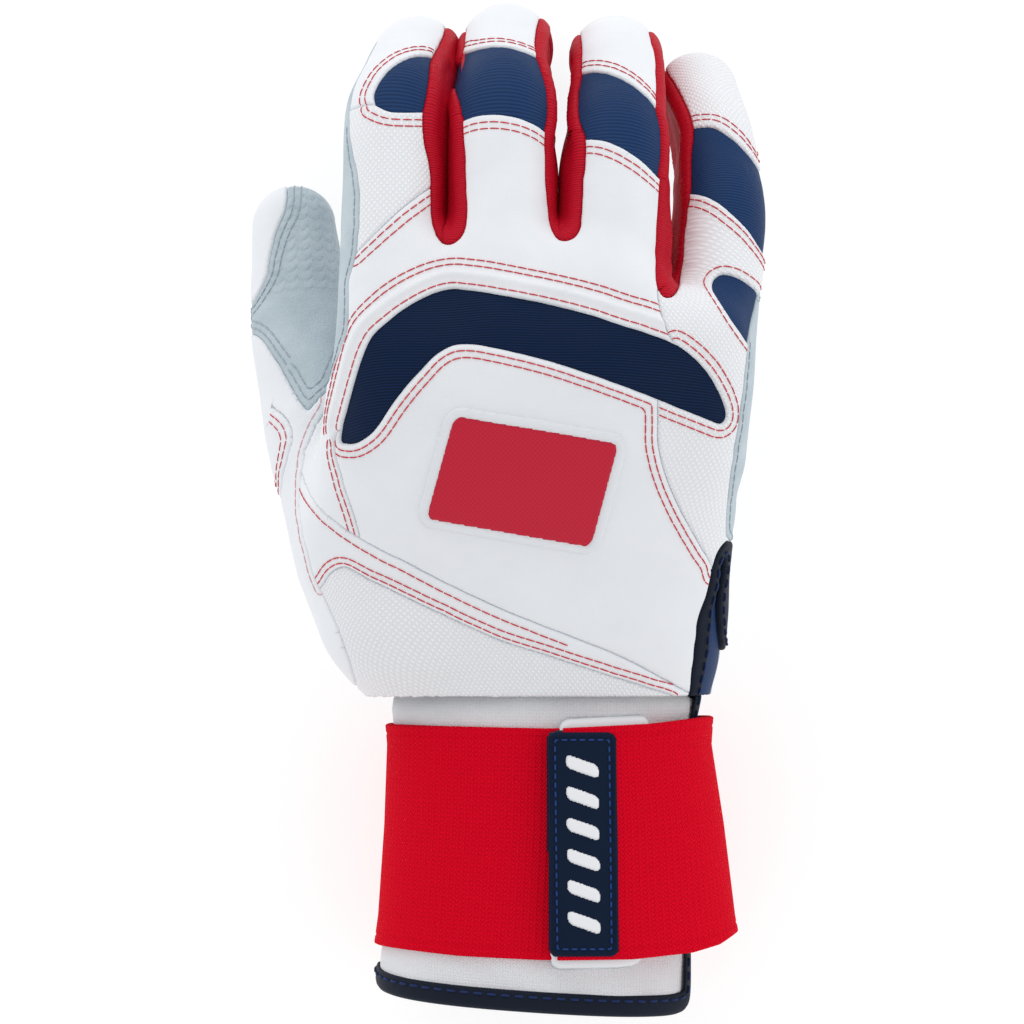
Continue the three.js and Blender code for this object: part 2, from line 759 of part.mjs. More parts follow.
// The wrist
function cuffAt(place) {
  const share = place / gloveLength;
  let i = 0;
  while (i < cuffRows.length - 2 && share < cuffRows[i + 1][0]) {
    i += 1;
  }
  const [v0, u0, h0] = cuffRows[i];
  const [v1, u1, h1] = cuffRows[i + 1];
  const part = (share - v0) / (v1 - v0);
  return {
    middle: (u0 + part * (u1 - u0)) * gloveWidth,
    halfBreadth: (h0 + part * (h1 - h0)) * gloveWidth,
  };
}

// The cuff beyond the strap leans, so its edge reaches further on the back of the wrist
function cuffTiltAt(place) {
  const from = cuffRows[3][0] * gloveLength;
  const to = cuffRows[5][0] * gloveLength;
  return cuffTilt * THREE.MathUtils.clamp((place - from) / (to - from), 0, 1);
}

// A point on the wrist, at a height off the cuff. Angles start at the little finger's edge
// and run over the back of the wrist. The underside lies flat on the table.
function wristPoint(place, degrees, height, flare = 0) {
  const { middle, halfBreadth } = cuffAt(place);
  const angle = THREE.MathUtils.degToRad(degrees);
  const across = Math.sign(Math.cos(angle)) * Math.abs(Math.cos(angle)) ** (2 / cuffRoundness);
  const up = Math.sign(Math.sin(angle)) * Math.abs(Math.sin(angle)) ** (2 / cuffRoundness);
  const x = middle + (halfBreadth + height) * across + flare;
  const z = cuffHeight + (cuffHalfDepth + height) * up;
  const y = place - cuffTiltAt(place) * up;
  return new THREE.Vector3(x, y, Math.max(z, seamGap + strapThickness - height));
}

function band(fromAngle, toAngle, steps, section) {
  const rings = [];
  for (let i = 0; i <= steps; i += 1) {
    rings.push(section(fromAngle + (i / steps) * (toAngle - fromAngle)));
  }
  return loft(rings);
}

// A full ring is the space between an outer and an inner form of the wrist
function wristForm(rows, height) {
  return loft(rows.map((place) => {
    const ring = [];
    for (let i = 0; i < ringSides; i += 1) {
      ring.push(wristPoint(place, (i / ringSides) * 360, height));
    }
    return ring;
  }));
}

const cuffTop = cuffRows[0][0] * gloveLength;
const cuffEnd = cuffRows[cuffRows.length - 1][0] * gloveLength;
const cuffPlaces = cuffRows.map(([v]) => v * gloveLength);
const cuffInside = [cuffTop + overrun, ...cuffPlaces.slice(1, -1), cuffEnd - overrun];
const cuff = wristForm(cuffPlaces, 0).subtract(wristForm(cuffInside, -skinThickness));
add('cuff', cuff, materials.knit);

const bindingStart = cuffEnd + bindingWidth / 2;
const bindingEnd = cuffEnd - bindingWidth / 2;
const bindingOuter = wristForm([bindingStart, cuffEnd, bindingEnd], seamGap + bindingThickness);
const bindingGroove = wristForm([bindingStart + overrun, cuffEnd - seamGap], seamGap);
const bindingMouth = wristForm([bindingStart + overrun, bindingEnd - overrun], -skinThickness);
const binding = bindingOuter.subtract(bindingGroove).subtract(bindingMouth);
add('cuff_binding', binding, materials.binding);

// The elastic strap: one turn round the wrist, then over itself to the tab
const strapTop = strapTopShare * gloveLength;
const strapBottom = strapTop - strapWidth;
const strapRows = [strapTop, (strapTop + strapBottom) / 2, strapBottom];
const wrapHeight = seamGap;
const padHeight = wrapHeight + strapThickness + seamGap;
const topHeight = padHeight + 2 * padThickness + seamGap;

function flareAt(place, degrees, lift) {
  const share = (strapTop - place) / strapWidth;
  const flare = strapFlareTop + share * (strapFlareBottom - strapFlareTop);
  const near = Math.max(0, Math.cos(THREE.MathUtils.degToRad(degrees)));
  return flare * near * lift;
}

function strapSection(degrees, low, thickness, lift = 1) {
  const inner = strapRows.map((place) => {
    return wristPoint(place, degrees, low, flareAt(place, degrees, lift));
  });
  const outer = strapRows.map((place) => {
    return wristPoint(place, degrees, low + thickness, flareAt(place, degrees, lift));
  });
  return [...inner, ...outer.reverse()];
}

const wrap = band(wrapStartAngle, strapEdgeAngle, 36, (degrees) => {
  const lift = THREE.MathUtils.smoothstep(degrees, wrapLiftAngle, wrapTopAngle);
  const low = wrapHeight + lift * (topHeight - wrapHeight);
  return strapSection(degrees, low, strapThickness, lift);
});
add('strap_wrap', wrap, materials.elastic);

// The angle at which the top layer reaches a place across the wrist
function angleAcross(share) {
  const { middle, halfBreadth } = cuffAt((strapTop + strapBottom) / 2);
  const across = (share * gloveWidth - middle) / (halfBreadth + topHeight);
  const cosine = Math.sign(across) * Math.abs(across) ** (cuffRoundness / 2);
  return THREE.MathUtils.radToDeg(Math.acos(cosine));
}

const gapAngle = THREE.MathUtils.radToDeg(seamGap / cuffHalfDepth) * 0.7;
const foldAngle = angleAcross(strapFoldShare);
const tabRight = angleAcross(tabShares[1]);
const tabLeft = angleAcross(tabShares[0]);
const strapMid = band(strapEdgeAngle - 360 + gapAngle, foldAngle - gapAngle, 8, (degrees) => (
  strapSection(degrees, topHeight, strapThickness)
));
add('strap_mid', strapMid, materials.elastic);
const strapEnd = band(foldAngle, tabRight - gapAngle, 4, (degrees) => (
  strapSection(degrees, topHeight, strapThickness)
));
add('strap_end', strapEnd, materials.elastic);

function wristPlate(fromAngle, toAngle, top, bottom, low, thickness) {
  const places = [top, (top + bottom) / 2, bottom];
  return band(fromAngle, toAngle, 6, (degrees) => {
    const inner = places.map((place) => wristPoint(place, degrees, low));
    const outer = places.map((place) => wristPoint(place, degrees, low + thickness));
    return [...inner, ...outer.reverse()];
  });
}

const tab = wristPlate(
  tabRight + gapAngle,
  tabLeft,
  strapTop + seamGap,
  strapBottom - seamGap,
  topHeight,
  tabThickness,
);
add('strap_tab', tab, materials.elastic);
const padLeft = angleAcross(padShares[0]);
const padRight = angleAcross(padShares[1]);
const loopPad = wristPlate(
  padRight,
  padLeft,
  strapTop + padOverhang,
  strapBottom - padOverhang,
  padHeight,
  padThickness,
);
add('loop_pad', loopPad, materials.pile);
const hookPad = wristPlate(
  tabRight + 2 * gapAngle,
  tabLeft - 2 * gapAngle,
  strapTop - padOverhang,
  strapBottom + padOverhang,
  padHeight + padThickness + seamGap / 2,
  padThickness - seamGap / 2,
);
add('hook_pad', hookPad, materials.pile);

export default glove;
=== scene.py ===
# %% [markdown]
# # A batting glove for the right hand
#
# The glove lies palm down with its fingers curled, as on a shelf. It is soft: thin leather,
# stretch cloth and embossed fabric are cut flat and sewn together, so almost nothing on it is
# a block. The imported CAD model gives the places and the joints, and this lesson sews a finer
# glove around them. All making is done in millimetres and turned to metres at the end.

# %% The frame
import json
import math

import bpy
import numpy as np
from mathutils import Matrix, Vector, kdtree

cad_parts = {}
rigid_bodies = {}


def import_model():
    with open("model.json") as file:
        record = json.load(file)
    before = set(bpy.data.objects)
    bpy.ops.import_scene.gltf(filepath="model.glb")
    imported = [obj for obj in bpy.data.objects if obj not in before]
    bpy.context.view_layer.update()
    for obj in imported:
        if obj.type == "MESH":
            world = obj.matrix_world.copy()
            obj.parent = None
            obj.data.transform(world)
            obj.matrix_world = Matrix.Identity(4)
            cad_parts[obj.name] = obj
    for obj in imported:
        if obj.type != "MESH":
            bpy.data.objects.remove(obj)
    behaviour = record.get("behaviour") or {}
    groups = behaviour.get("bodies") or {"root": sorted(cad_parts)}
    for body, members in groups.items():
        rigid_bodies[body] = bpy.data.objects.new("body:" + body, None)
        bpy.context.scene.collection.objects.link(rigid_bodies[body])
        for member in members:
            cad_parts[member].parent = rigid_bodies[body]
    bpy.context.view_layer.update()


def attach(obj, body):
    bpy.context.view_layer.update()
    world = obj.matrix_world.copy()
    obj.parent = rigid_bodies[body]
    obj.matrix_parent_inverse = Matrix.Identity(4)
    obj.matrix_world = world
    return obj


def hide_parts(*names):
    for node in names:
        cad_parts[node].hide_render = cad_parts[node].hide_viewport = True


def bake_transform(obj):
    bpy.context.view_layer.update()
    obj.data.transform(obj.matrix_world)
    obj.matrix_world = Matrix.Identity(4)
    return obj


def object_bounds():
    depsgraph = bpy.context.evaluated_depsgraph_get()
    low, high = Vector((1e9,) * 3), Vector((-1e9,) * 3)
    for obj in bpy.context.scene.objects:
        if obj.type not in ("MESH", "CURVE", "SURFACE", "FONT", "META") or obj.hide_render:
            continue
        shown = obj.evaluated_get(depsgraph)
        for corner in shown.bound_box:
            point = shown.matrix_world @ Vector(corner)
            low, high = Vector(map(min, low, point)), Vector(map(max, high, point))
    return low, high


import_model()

MM = 0.001
GLOVE_LENGTH = 228.0
GLOVE_WIDTH = 116.0
KNUCKLE_HEIGHT = 61.0
KNUCKLE_HALF_DEPTH = 17.0


# %% [markdown]
# ## The hand inside the glove
#
# A worn glove takes its shape from the hand, so the first thing to make is a smooth hand. It
# could be sculpted, or lofted and joined with booleans. Here each part is written as a
# distance: how far a point is from the palm, or from a finger with a bone line in its middle.
# Distances can be joined with a soft fillet, which is what skin and tight cloth do.

# %% Rows across the hand, from the wrist to the finger roots
# place, middle and half breadth as shares of the length and width, then height and half depth
HAND_ROWS = np.array([
    [-0.215, 0.0595, 0.3255, 0.425, 1.40],
    [-0.181, 0.0598, 0.3308, 0.440, 1.42],
    [-0.145, 0.0510, 0.3560, 0.490, 1.40],
    [-0.105, 0.0390, 0.3740, 0.540, 1.41],
    [-0.056, 0.0250, 0.3910, 0.610, 1.38],
    [-0.007, 0.021, 0.407, 0.700, 1.34],
    [0.042, 0.029, 0.404, 0.790, 1.26],
    [0.092, 0.040, 0.396, 0.870, 1.16],
    [0.131, 0.051, 0.391, 0.935, 1.05],
    [0.171, 0.0645, 0.3825, 0.970, 0.95],
    [0.212, 0.0715, 0.3735, 0.955, 0.86],
    [0.270, 0.0737, 0.3677, 0.900, 0.78],
    [0.320, 0.0737, 0.3607, 0.850, 0.74],
])
HAND_ROUNDNESS = 2.5
print("rows across the hand:", len(HAND_ROWS))


def eased_table(places, values, count=240):
    """Values at many places between the rows, on a curve without corners."""
    slopes = np.gradient(values, places)
    fine = np.linspace(places[0], places[-1], count)
    i = np.clip(np.searchsorted(places, fine) - 1, 0, len(places) - 2)
    span = places[i + 1] - places[i]
    t = (fine - places[i]) / span
    h00, h10 = 2 * t**3 - 3 * t**2 + 1, t**3 - 2 * t**2 + t
    h01, h11 = -2 * t**3 + 3 * t**2, t**3 - t**2
    curve = h00 * values[i] + h01 * values[i + 1]
    return fine, curve + span * (h10 * slopes[i] + h11 * slopes[i + 1])


ROW_SIZES = [GLOVE_LENGTH, GLOVE_WIDTH, GLOVE_WIDTH, KNUCKLE_HEIGHT, KNUCKLE_HALF_DEPTH]
hand_columns = (HAND_ROWS * ROW_SIZES).T
hand_tables = [eased_table(hand_columns[0], column) for column in hand_columns[1:]]


def hand_row(y):
    """Middle, half breadth, height and half depth of the hand at places along it."""
    return [np.interp(y, *table) for table in hand_tables]


def soft_min(a, b, reach):
    """The smaller of two distances, joined by a fillet of a reach."""
    share = np.clip(0.5 + 0.5 * (b - a) / reach, 0, 1)
    return b + (a - b) * share - reach * share * (1 - share)


def soft_step(x, low, high):
    """A share that eases from 0 at low to 1 at high."""
    t = np.clip((x - low) / (high - low), 0, 1)
    return t * t * (3 - 2 * t)


# The hand ends in a soft wall between the fingers, nearer the wrist beside the little finger
WEB_PLACES = [[-40, 61.5], [-14.0, 63.0], [11.0, 63.0], [24, 60], [36.0, 50.5], [60, 48]]
WEB_FILLET = 9.0


def hand_distance(p):
    """How far points are outside the palm of the hand."""
    middle, half, height, depth = hand_row(p[:, 1])
    a = np.abs(p[:, 0] - middle) / half + 1e-6
    b = np.abs(p[:, 2] - height) / depth + 1e-6
    n = HAND_ROUNDNESS
    q = (a**n + b**n) ** (1 / n)
    steep = np.hypot(q ** (1 - n) * a ** (n - 1) / half, q ** (1 - n) * b ** (n - 1) / depth)
    side = (q - 1) / np.maximum(steep, 1 / half)
    wall = p[:, 1] - np.interp(p[:, 0], *np.transpose(WEB_PLACES))
    return -soft_min(-side, -wall, WEB_FILLET)


# %% The bones of the fingers
# root as shares of width, length and knuckle height; slopes below the horizontal and turns to
# the right in degrees; radii across and through the finger at root, joints and tip
DIGITS = {
    "index": dict(
        root=(-0.230, 0.178, 0.975), bones=(50.5, 28, 12), slopes=(15, 62, 84),
        turns=(1.1, 16, 14), across=(11.6, 11.2, 9.8, 9.2), through=(13.2, 11.8, 10.2, 9.2)),
    "middle": dict(
        root=(-0.022, 0.194, 1), bones=(47, 30.5, 13.3), slopes=(15, 60.5, 85),
        turns=(0.9, 3, 2), across=(11.6, 11.5, 10.2, 9.3), through=(13.2, 12.0, 10.6, 9.4)),
    "ring": dict(
        root=(0.181, 0.177, 0.98), bones=(43.5, 29, 17), slopes=(15, 52, 78),
        turns=(3.4, 1.5, -1), across=(11.6, 11.3, 10.1, 9.5), through=(12.9, 11.8, 10.3, 9.3)),
    "little": dict(
        root=(0.372, 0.126, 0.9), bones=(42.5, 22.5, 19.5), slopes=(20, 36, 58),
        turns=(7, -9, -14), across=(10.1, 9.3, 8.8, 8.3), through=(11.6, 9.8, 8.9, 8.3)),
    "thumb": dict(
        root=(-0.274, -0.036, 0.525), bones=(27.9, 26.6, 25.6), slopes=(16.7, 18.6, 16.4),
        turns=(-22.7, -12.5, -5), across=(16.5, 12.5, 11.3, 8.8), through=(18.0, 12.3, 10.2, 8.4)),
}
FINGERS = ["index", "middle", "ring", "little"]
STATION_STEP = 1.0
LEAD_IN = 16.0
LEAD_SLOPE = -24.0
FINGER_BEND, THUMB_BEND = 9.0, 6.0
KNUCKLE_REACH, KNUCKLE_WIDER, KNUCKLE_DEEPER = 7, 0.35, 0.5
FINGER_FILLET, THUMB_FILLET = 5.0, 9.0


class BoneLine:
    """The middle line of a digit, with a direction that eases round at each joint."""

    def __init__(self, name):
        digit = DIGITS[name]
        bend = THUMB_BEND if name == "thumb" else FINGER_BEND
        self.joints = [digit["bones"][0], digit["bones"][0] + digit["bones"][1]]
        self.total = sum(digit["bones"])
        self.along = np.arange(-LEAD_IN, self.total + 1e-6, STATION_STEP)
        first = digit["slopes"][0]
        eased = LEAD_SLOPE + soft_step(self.along, -14, 3) * (first - LEAD_SLOPE)
        slope = np.where(name == "thumb", first, eased)
        turn = np.full(len(self.along), float(digit["turns"][0]))
        for k, joint in enumerate(self.joints):
            share = soft_step(self.along, joint - bend, joint + bend)
            slope += share * (digit["slopes"][k + 1] - digit["slopes"][k])
            turn += share * (digit["turns"][k + 1] - digit["turns"][k])
        fall, yaw = np.radians(slope), np.radians(turn)
        level = np.cos(fall)
        self.ahead = np.stack([np.sin(yaw) * level, np.cos(yaw) * level, -np.sin(fall)], 1)
        self.side = np.stack([np.cos(yaw), -np.sin(yaw), np.zeros_like(yaw)], 1)
        self.bending = np.gradient(self.ahead, axis=0) / STATION_STEP
        self.up = np.cross(self.side, self.ahead)
        steps = np.cumsum(self.ahead * STATION_STEP, 0)
        start = int(round(LEAD_IN / STATION_STEP))
        root = np.array(digit["root"]) * [GLOVE_WIDTH, GLOVE_LENGTH, KNUCKLE_HEIGHT]
        self.points = steps - steps[start] + root
        knots = [-LEAD_IN, 0, *self.joints, self.total]
        knuckle = np.exp(-((self.along - self.joints[0] - 1) / KNUCKLE_REACH) ** 2)
        across, through = ([digit[key][0], *digit[key]] for key in ("across", "through"))
        self.across = np.interp(self.along, knots, across) + KNUCKLE_WIDER * knuckle
        self.through = np.interp(self.along, knots, through) + KNUCKLE_DEEPER * knuckle

    def at(self, along):
        """The place on the bone line at a length from its root."""
        i = int(np.clip(round((along + LEAD_IN) / STATION_STEP), 0, len(self.along) - 1))
        return self.points[i]

    def coordinates(self, p):
        """Place along the bone, and how far to the right and up from it."""
        near = (self.points**2).sum(1) - 2 * p @ self.points.T
        k = near.argmin(1)
        rel = p - self.points[k]
        ahead = (rel * self.ahead[k]).sum(1)
        ahead = ahead / np.clip(1 - (rel * self.bending[k]).sum(1), 0.4, 3)
        across = (rel * self.side[k]).sum(1)
        up = (rel * self.up[k]).sum(1)
        return k, self.along[k] + ahead, across, up, ahead

    def distance(self, p):
        """How far points are outside the digit."""
        k, _, across, up, ahead = self.coordinates(p)
        wide, deep = self.across[k], self.through[k]
        over = np.where((k == len(self.points) - 1) | (k == 0), ahead, 0)
        long = (wide + deep) / 2
        q = np.sqrt((across / wide) ** 2 + (up / deep) ** 2 + (over / long) ** 2) + 1e-6
        steep = np.sqrt((across / wide**2) ** 2 + (up / deep**2) ** 2 + (over / long**2) ** 2)
        return (q - 1) / np.maximum(steep / q, 1 / np.maximum(wide, deep))


bones = {name: BoneLine(name) for name in DIGITS}


def skin_distance(p):
    """How far points are outside the whole hand, below zero inside."""
    near_fingers = np.full(len(p), 60.0)
    reach = p[:, 1] > -9
    for name in FINGERS:
        near_fingers[reach] = np.minimum(near_fingers[reach], bones[name].distance(p[reach]))
    whole = soft_min(hand_distance(p), near_fingers, FINGER_FILLET)
    reach = (p[:, 0] < 8) & (p[:, 1] < 92)
    whole[reach] = soft_min(whole[reach], bones["thumb"].distance(p[reach]), THUMB_FILLET)
    return whole


for name, line in bones.items():
    places = line.at(line.joints[0]), line.points[-1]
    print(name, "joint at", np.round(places[0], 1), "tip at", np.round(places[1], 1))

# %% [markdown]
# ## One fine skin
#
# Blender's voxel remesh joins rough tubes into one closed mesh. Each of its points is then
# walked onto the exact smooth surface along the slope of the distance, which removes the
# steps of the voxels, and the points are evened out between the walks. The rough tubes start
# a little thin, so that fingers that nearly touch stay separate.

# %% Rough tubes, joined
THIN = 0.9
VOXEL = 0.95
HAND_SIDES, TUBE_SIDES, ROW_STEP = 48, 28, 1.5
# ends of the palm's two tubes along the hand, and the shares of its half breadth they fill
PALM_TUBES = (((-47, 46), -1, 1), ((36, 59), -1, 0.46))
TIP_ANGLES = np.radians([0, 25, 48, 68, 82])
CLEARANCE = 0.9


def mesh_object(name, points, faces):
    """A mesh in the scene from its points and faces."""
    mesh = bpy.data.meshes.new(name)
    mesh.from_pydata([tuple(q) for q in points], [], [tuple(f) for f in faces])
    mesh.update()
    piece = bpy.data.objects.new(name, mesh)
    bpy.context.scene.collection.objects.link(piece)
    return piece


def loft_faces(rows, count, start=0):
    """Faces of a tube of rings with as many points each, closed at its two ends."""
    faces = []
    for row in range(rows - 1):
        for i in range(count):
            a, b = start + row * count + i, start + row * count + (i + 1) % count
            faces.append((a, b, b + count, a + count))
    faces.append(tuple(start + i for i in reversed(range(count))))
    faces.append(tuple(start + (rows - 1) * count + i for i in range(count)))
    return faces


def rounded_square(turn, roundness):
    """Places on a rounded square of half breadth one, by angle."""
    return [np.sign(way) * np.abs(way) ** (2 / roundness) for way in (np.cos(turn), np.sin(turn))]


def rough_forms():
    """Points and faces of the tubes that are joined: two for the palm, one for each digit."""
    points, faces = [], []
    turn = np.linspace(0, 2 * np.pi, HAND_SIDES, endpoint=False)
    across, up = rounded_square(turn, HAND_ROUNDNESS)
    for places, left, right in PALM_TUBES:
        rows = np.arange(*places, ROW_STEP)
        start = len(points)
        for y in rows:
            middle, half, height, depth = hand_row(y)
            x = middle + np.clip((half - THIN) * across, left * half, right * half)
            points += list(np.stack([x, np.full(HAND_SIDES, y), height + (depth - THIN) * up], 1))
        faces += loft_faces(len(rows), HAND_SIDES, start)
    turn = np.linspace(0, 2 * np.pi, TUBE_SIDES, endpoint=False)
    for line in bones.values():
        start = len(points)
        rings = []
        for k in range(0, len(line.points), 2):
            rings.append((line.points[k], line.across[k] - THIN, line.through[k] - THIN, k))
        last = len(line.points) - 1
        wide, deep = line.across[last] - THIN, line.through[last] - THIN
        for angle in TIP_ANGLES:
            centre = line.points[last] + line.ahead[last] * (wide + deep) / 2 * np.sin(angle)
            rings.append((centre, wide * np.cos(angle), deep * np.cos(angle), last))
        for centre, wide, deep, k in rings:
            ring = centre + np.outer(np.cos(turn) * wide, line.side[k])
            points += list(ring + np.outer(np.sin(turn) * deep, line.up[k]))
        faces += loft_faces(len(rings), TUBE_SIDES, start)
    return points, faces


def evened(p, faces, rounds):
    """Draws each point towards the middle of its neighbours, which opens folded triangles."""
    there, back = [0, 1, 2, 1, 2, 0], [1, 2, 0, 0, 1, 2]
    a, b = faces[:, there].ravel(), faces[:, back].ravel()
    neighbours = np.bincount(a, minlength=len(p))[:, None]
    for _ in range(rounds):
        middle = np.stack([np.bincount(a, p[b, k], len(p)) for k in (0, 1, 2)], 1) / neighbours
        p = p + 0.6 * (middle - p)
    return p


def slope_at(p, value, step):
    """How the distance to the skin changes from some points along x, y and z."""
    return np.stack([skin_distance(p + way) - value for way in np.eye(3) * step], 1)


def walk_to_skin(p, rounds=4):
    """Moves points onto the skin along the slope of the distance."""
    for _ in range(rounds):
        value = skin_distance(p)
        slope = slope_at(p, value, 0.25) / 0.25
        size = np.maximum((slope**2).sum(1), 0.3)
        p = p - np.clip(value / size, -1.5, 1.5)[:, None] * slope
    return p


rough = mesh_object("rough", *rough_forms())
remesh = rough.modifiers.new("remesh", "REMESH")
remesh.mode = "VOXEL"
remesh.voxel_size = VOXEL
graph = bpy.context.evaluated_depsgraph_get()
joined = rough.evaluated_get(graph).to_mesh()
joined.calc_loop_triangles()
skin_points = np.empty((len(joined.vertices), 3))
joined.vertices.foreach_get("co", skin_points.ravel())
skin_faces = np.empty((len(joined.loop_triangles), 3), int)
joined.loop_triangles.foreach_get("vertices", skin_faces.ravel())
rough.evaluated_get(graph).to_mesh_clear()
bpy.data.objects.remove(rough)
skin_points = walk_to_skin(evened(skin_points, skin_faces, 5))
for _ in range(3):
    skin_points = walk_to_skin(evened(skin_points, skin_faces, 4), 2)
skin_points[:, 2] = np.maximum(skin_points[:, 2], CLEARANCE)
print("skin:", len(skin_points), "points", len(skin_faces), "triangles, furthest off",
      round(float(np.abs(skin_distance(skin_points)).max()), 3), "mm")

# %% [markdown]
# ## Seam lines
#
# On the real glove the seams are drawn on flat patterns. Here they are drawn as seen from
# straight above and dropped onto the skin. `seen` turns a place in the 1024 x 1024 view from
# above into millimetres, and `curved` rounds a line of such places, except at a place with a
# third number, which stays a corner.

# %% Lines seen from above
VIEW_SCALE = 4.45
VIEW_MIDDLE = np.array([511.5, 513.0])


def seen(places):
    """Places in the view from above, turned into millimetres."""
    return (np.array(places, float) - VIEW_MIDDLE) * [1, -1] / VIEW_SCALE


def lengths_along(line):
    """The length of a line of places up to each of them."""
    return np.concatenate([[0], np.cumsum(np.linalg.norm(np.diff(line, axis=0), axis=1))])


def at_lengths(at, long, values):
    """Values at some lengths of a line, between the rows that it gives."""
    return np.stack([np.interp(at, long, column) for column in values.T], -1)


def curved(places, step=1.0):
    """A fine line through places, round except at those with a third number, the corners."""
    points = seen([place[:2] for place in places])
    corners = [k for k, place in enumerate(places) if len(place) > 2]
    runs = [points[a:b + 1] for a, b in zip([0, *corners], [*corners, len(points)])]
    line = []
    for run in (run for run in runs if len(run) > 1):
        long = lengths_along(run)
        count = max(2, int(long[-1] / step))
        if len(run) == 2:
            line += list(at_lengths(np.linspace(0, long[-1], count), long, run))
        else:
            line += list(np.stack([eased_table(long, column, count)[1] for column in run.T], 1))
    return np.array(line)


def inside_distance(p, shape):
    """Distance in the view to a closed outline, below zero inside it."""
    best = np.full(len(p), 1e9)
    odd = np.zeros(len(p), bool)
    x, y = p[:, 0], p[:, 1]
    for a, b in zip(shape, np.roll(shape, -1, 0)):
        edge = b - a
        size = edge @ edge
        if size < 1e-9:
            continue
        t = np.clip(((x - a[0]) * edge[0] + (y - a[1]) * edge[1]) / size, 0, 1)
        best = np.minimum(best, (x - a[0] - t * edge[0]) ** 2 + (y - a[1] - t * edge[1]) ** 2)
        if a[1] != b[1]:
            odd ^= ((a[1] > y) != (b[1] > y)) & (x < a[0] + (y - a[1]) * edge[0] / edge[1])
    best = np.sqrt(best)
    return np.where(odd, -best, best)


INDEX_PATCH = [
    (423, 114, 1), (404, 114.5), (386, 113), (377, 107), (374, 98), (377, 88), (382, 80),
    (389, 71), (397, 65), (405, 60), (414, 57), (431, 57, 1), (429, 71), (427, 93), (423, 114)]
MIDDLE_PATCH = [
    (464, 53, 1), (478, 49), (496, 47), (516, 49.5), (536, 57, 1), (543, 79), (546.5, 98),
    (546, 121), (544, 133.5, 1), (530, 125), (512, 119), (489, 117.5), (474, 119), (465, 123, 1),
    (458, 100), (455, 86), (458, 70), (464, 53)]
RING_PATCH = [
    (583, 73, 1), (598, 72), (619, 78), (639, 91), (655, 108, 1), (658.5, 126), (659, 158),
    (657.5, 181, 1), (639, 162), (619, 149.5), (600, 142), (586, 141.5, 1), (579, 118), (579, 93),
    (583, 73)]
LITTLE_PATCH = [
    (695, 126.5, 1), (714, 126.5), (730, 136), (748, 154), (763, 177), (772, 206), (778, 240, 1),
    (778, 275, 1), (762, 256), (746, 230), (726, 210), (706, 197), (692.5, 194, 1), (692, 176),
    (692.5, 152), (695, 126.5)]
# The border of the back panels, from the wrist up the thumb side and round every finger
BACK_BORDER = [
    (200, 720, 1), (200, 165, 1), (284, 165, 1), (284, 188), (282, 211), (275, 225), (268, 255),
    (264, 282), (258, 302), (257, 318), (270, 345), (285, 376), (297, 398), (309, 413),
    (317, 416), (324, 412), (329, 392), (331, 366), (334, 328), (343, 303), (357, 263),
    (361, 230), (360, 180), (354, 148), (352, 118), (357, 88), (366, 68), (376, 44),
    (376, -60, 1), (450, -60, 1), (446, 0), (443.5, 18), (441, 34), (436, 47), (431, 57),
    (429, 71), (427, 93), (423, 114), (423, 143), (428, 166), (430, 191), (430, 216), (434, 232),
    (441, 245), (450, 248.5), (459, 245), (466, 235), (468.5, 216), (468, 191), (467, 166),
    (466, 144), (464.5, 123), (459, 100), (455, 86), (458, 71), (464.5, 53), (467, 38),
    (467.5, 22), (467, 0), (467, -60, 1), (541, -60, 1), (539, 10), (536, 25), (534, 48),
    (536, 57), (543, 79), (546.5, 98), (546, 121), (542.5, 141), (543, 166), (544, 199),
    (546, 217), (551, 234), (560, 245), (568, 245), (576, 240), (580.5, 230), (582, 217),
    (584.5, 178), (587, 150), (586, 141), (579, 118), (579, 93), (583, 73), (584, 49), (583, 24),
    (582, -60, 1), (650, -60, 1), (649.5, 20), (650, 36), (653, 49), (655, 79), (655, 108),
    (658.5, 126), (659, 158), (657, 182), (656, 200), (654, 221), (652.5, 247), (653, 272),
    (655.5, 291), (661, 300), (669, 302), (675, 297), (679, 286), (683.5, 267), (686.5, 237),
    (689.5, 213), (692, 194), (692, 178), (692.5, 154), (695, 127), (692, 114), (686, 98),
    (678.5, 82), (671, 68), (668, 55), (668, -60, 1), (800, -60, 1), (800, 290, 1), (757, 290, 1),
    (750, 318), (743.5, 349), (741.4, 374), (738.4, 400.5), (734, 430), (730.4, 455),
    (727.4, 477), (725.2, 499), (723.5, 534, 1), (733, 545, 1), (733, 620), (726, 720, 1)]
BAND = [
    (339, 443.5, 1), (358, 443.5), (373, 434), (384, 420), (395, 403), (417, 377), (437, 356),
    (452, 347.5), (472, 346), (495, 350), (525, 356.5), (584, 374), (637, 393), (690, 414),
    (722, 427, 1), (725, 417), (721, 402), (713, 385), (700, 367), (686, 354), (672, 345),
    (657, 339), (620, 327), (584, 315.5), (525, 301.5), (496, 296.5), (470, 292.5), (449, 291),
    (434, 295), (408, 309), (387, 325), (373, 339), (365, 355), (357, 380), (348, 412),
    (339, 443.5)]
ULNAR_PATCH = [
    (712, 281), (718, 276), (727, 276), (742, 282), (756, 292, 1), (752, 320), (745, 346, 1),
    (732, 327), (718, 306), (711, 291), (712, 281)]
back_border = curved(BACK_BORDER)
print("back border:", len(back_border), "places")

# %% [markdown]
# ## Cutting in numbers
#
# A knife cut or a boolean would work, but both leave ragged edges on thin skin. Here the skin
# stays one mesh and each triangle carries the name of its panel. A cut splits the triangles
# where a number passes zero, on both sides of the line, so neighbours share the same edge.

# %% The skin and its cuts
SNAP = 0.22
FAR = 99.0
LARGE_SCRAP = 60


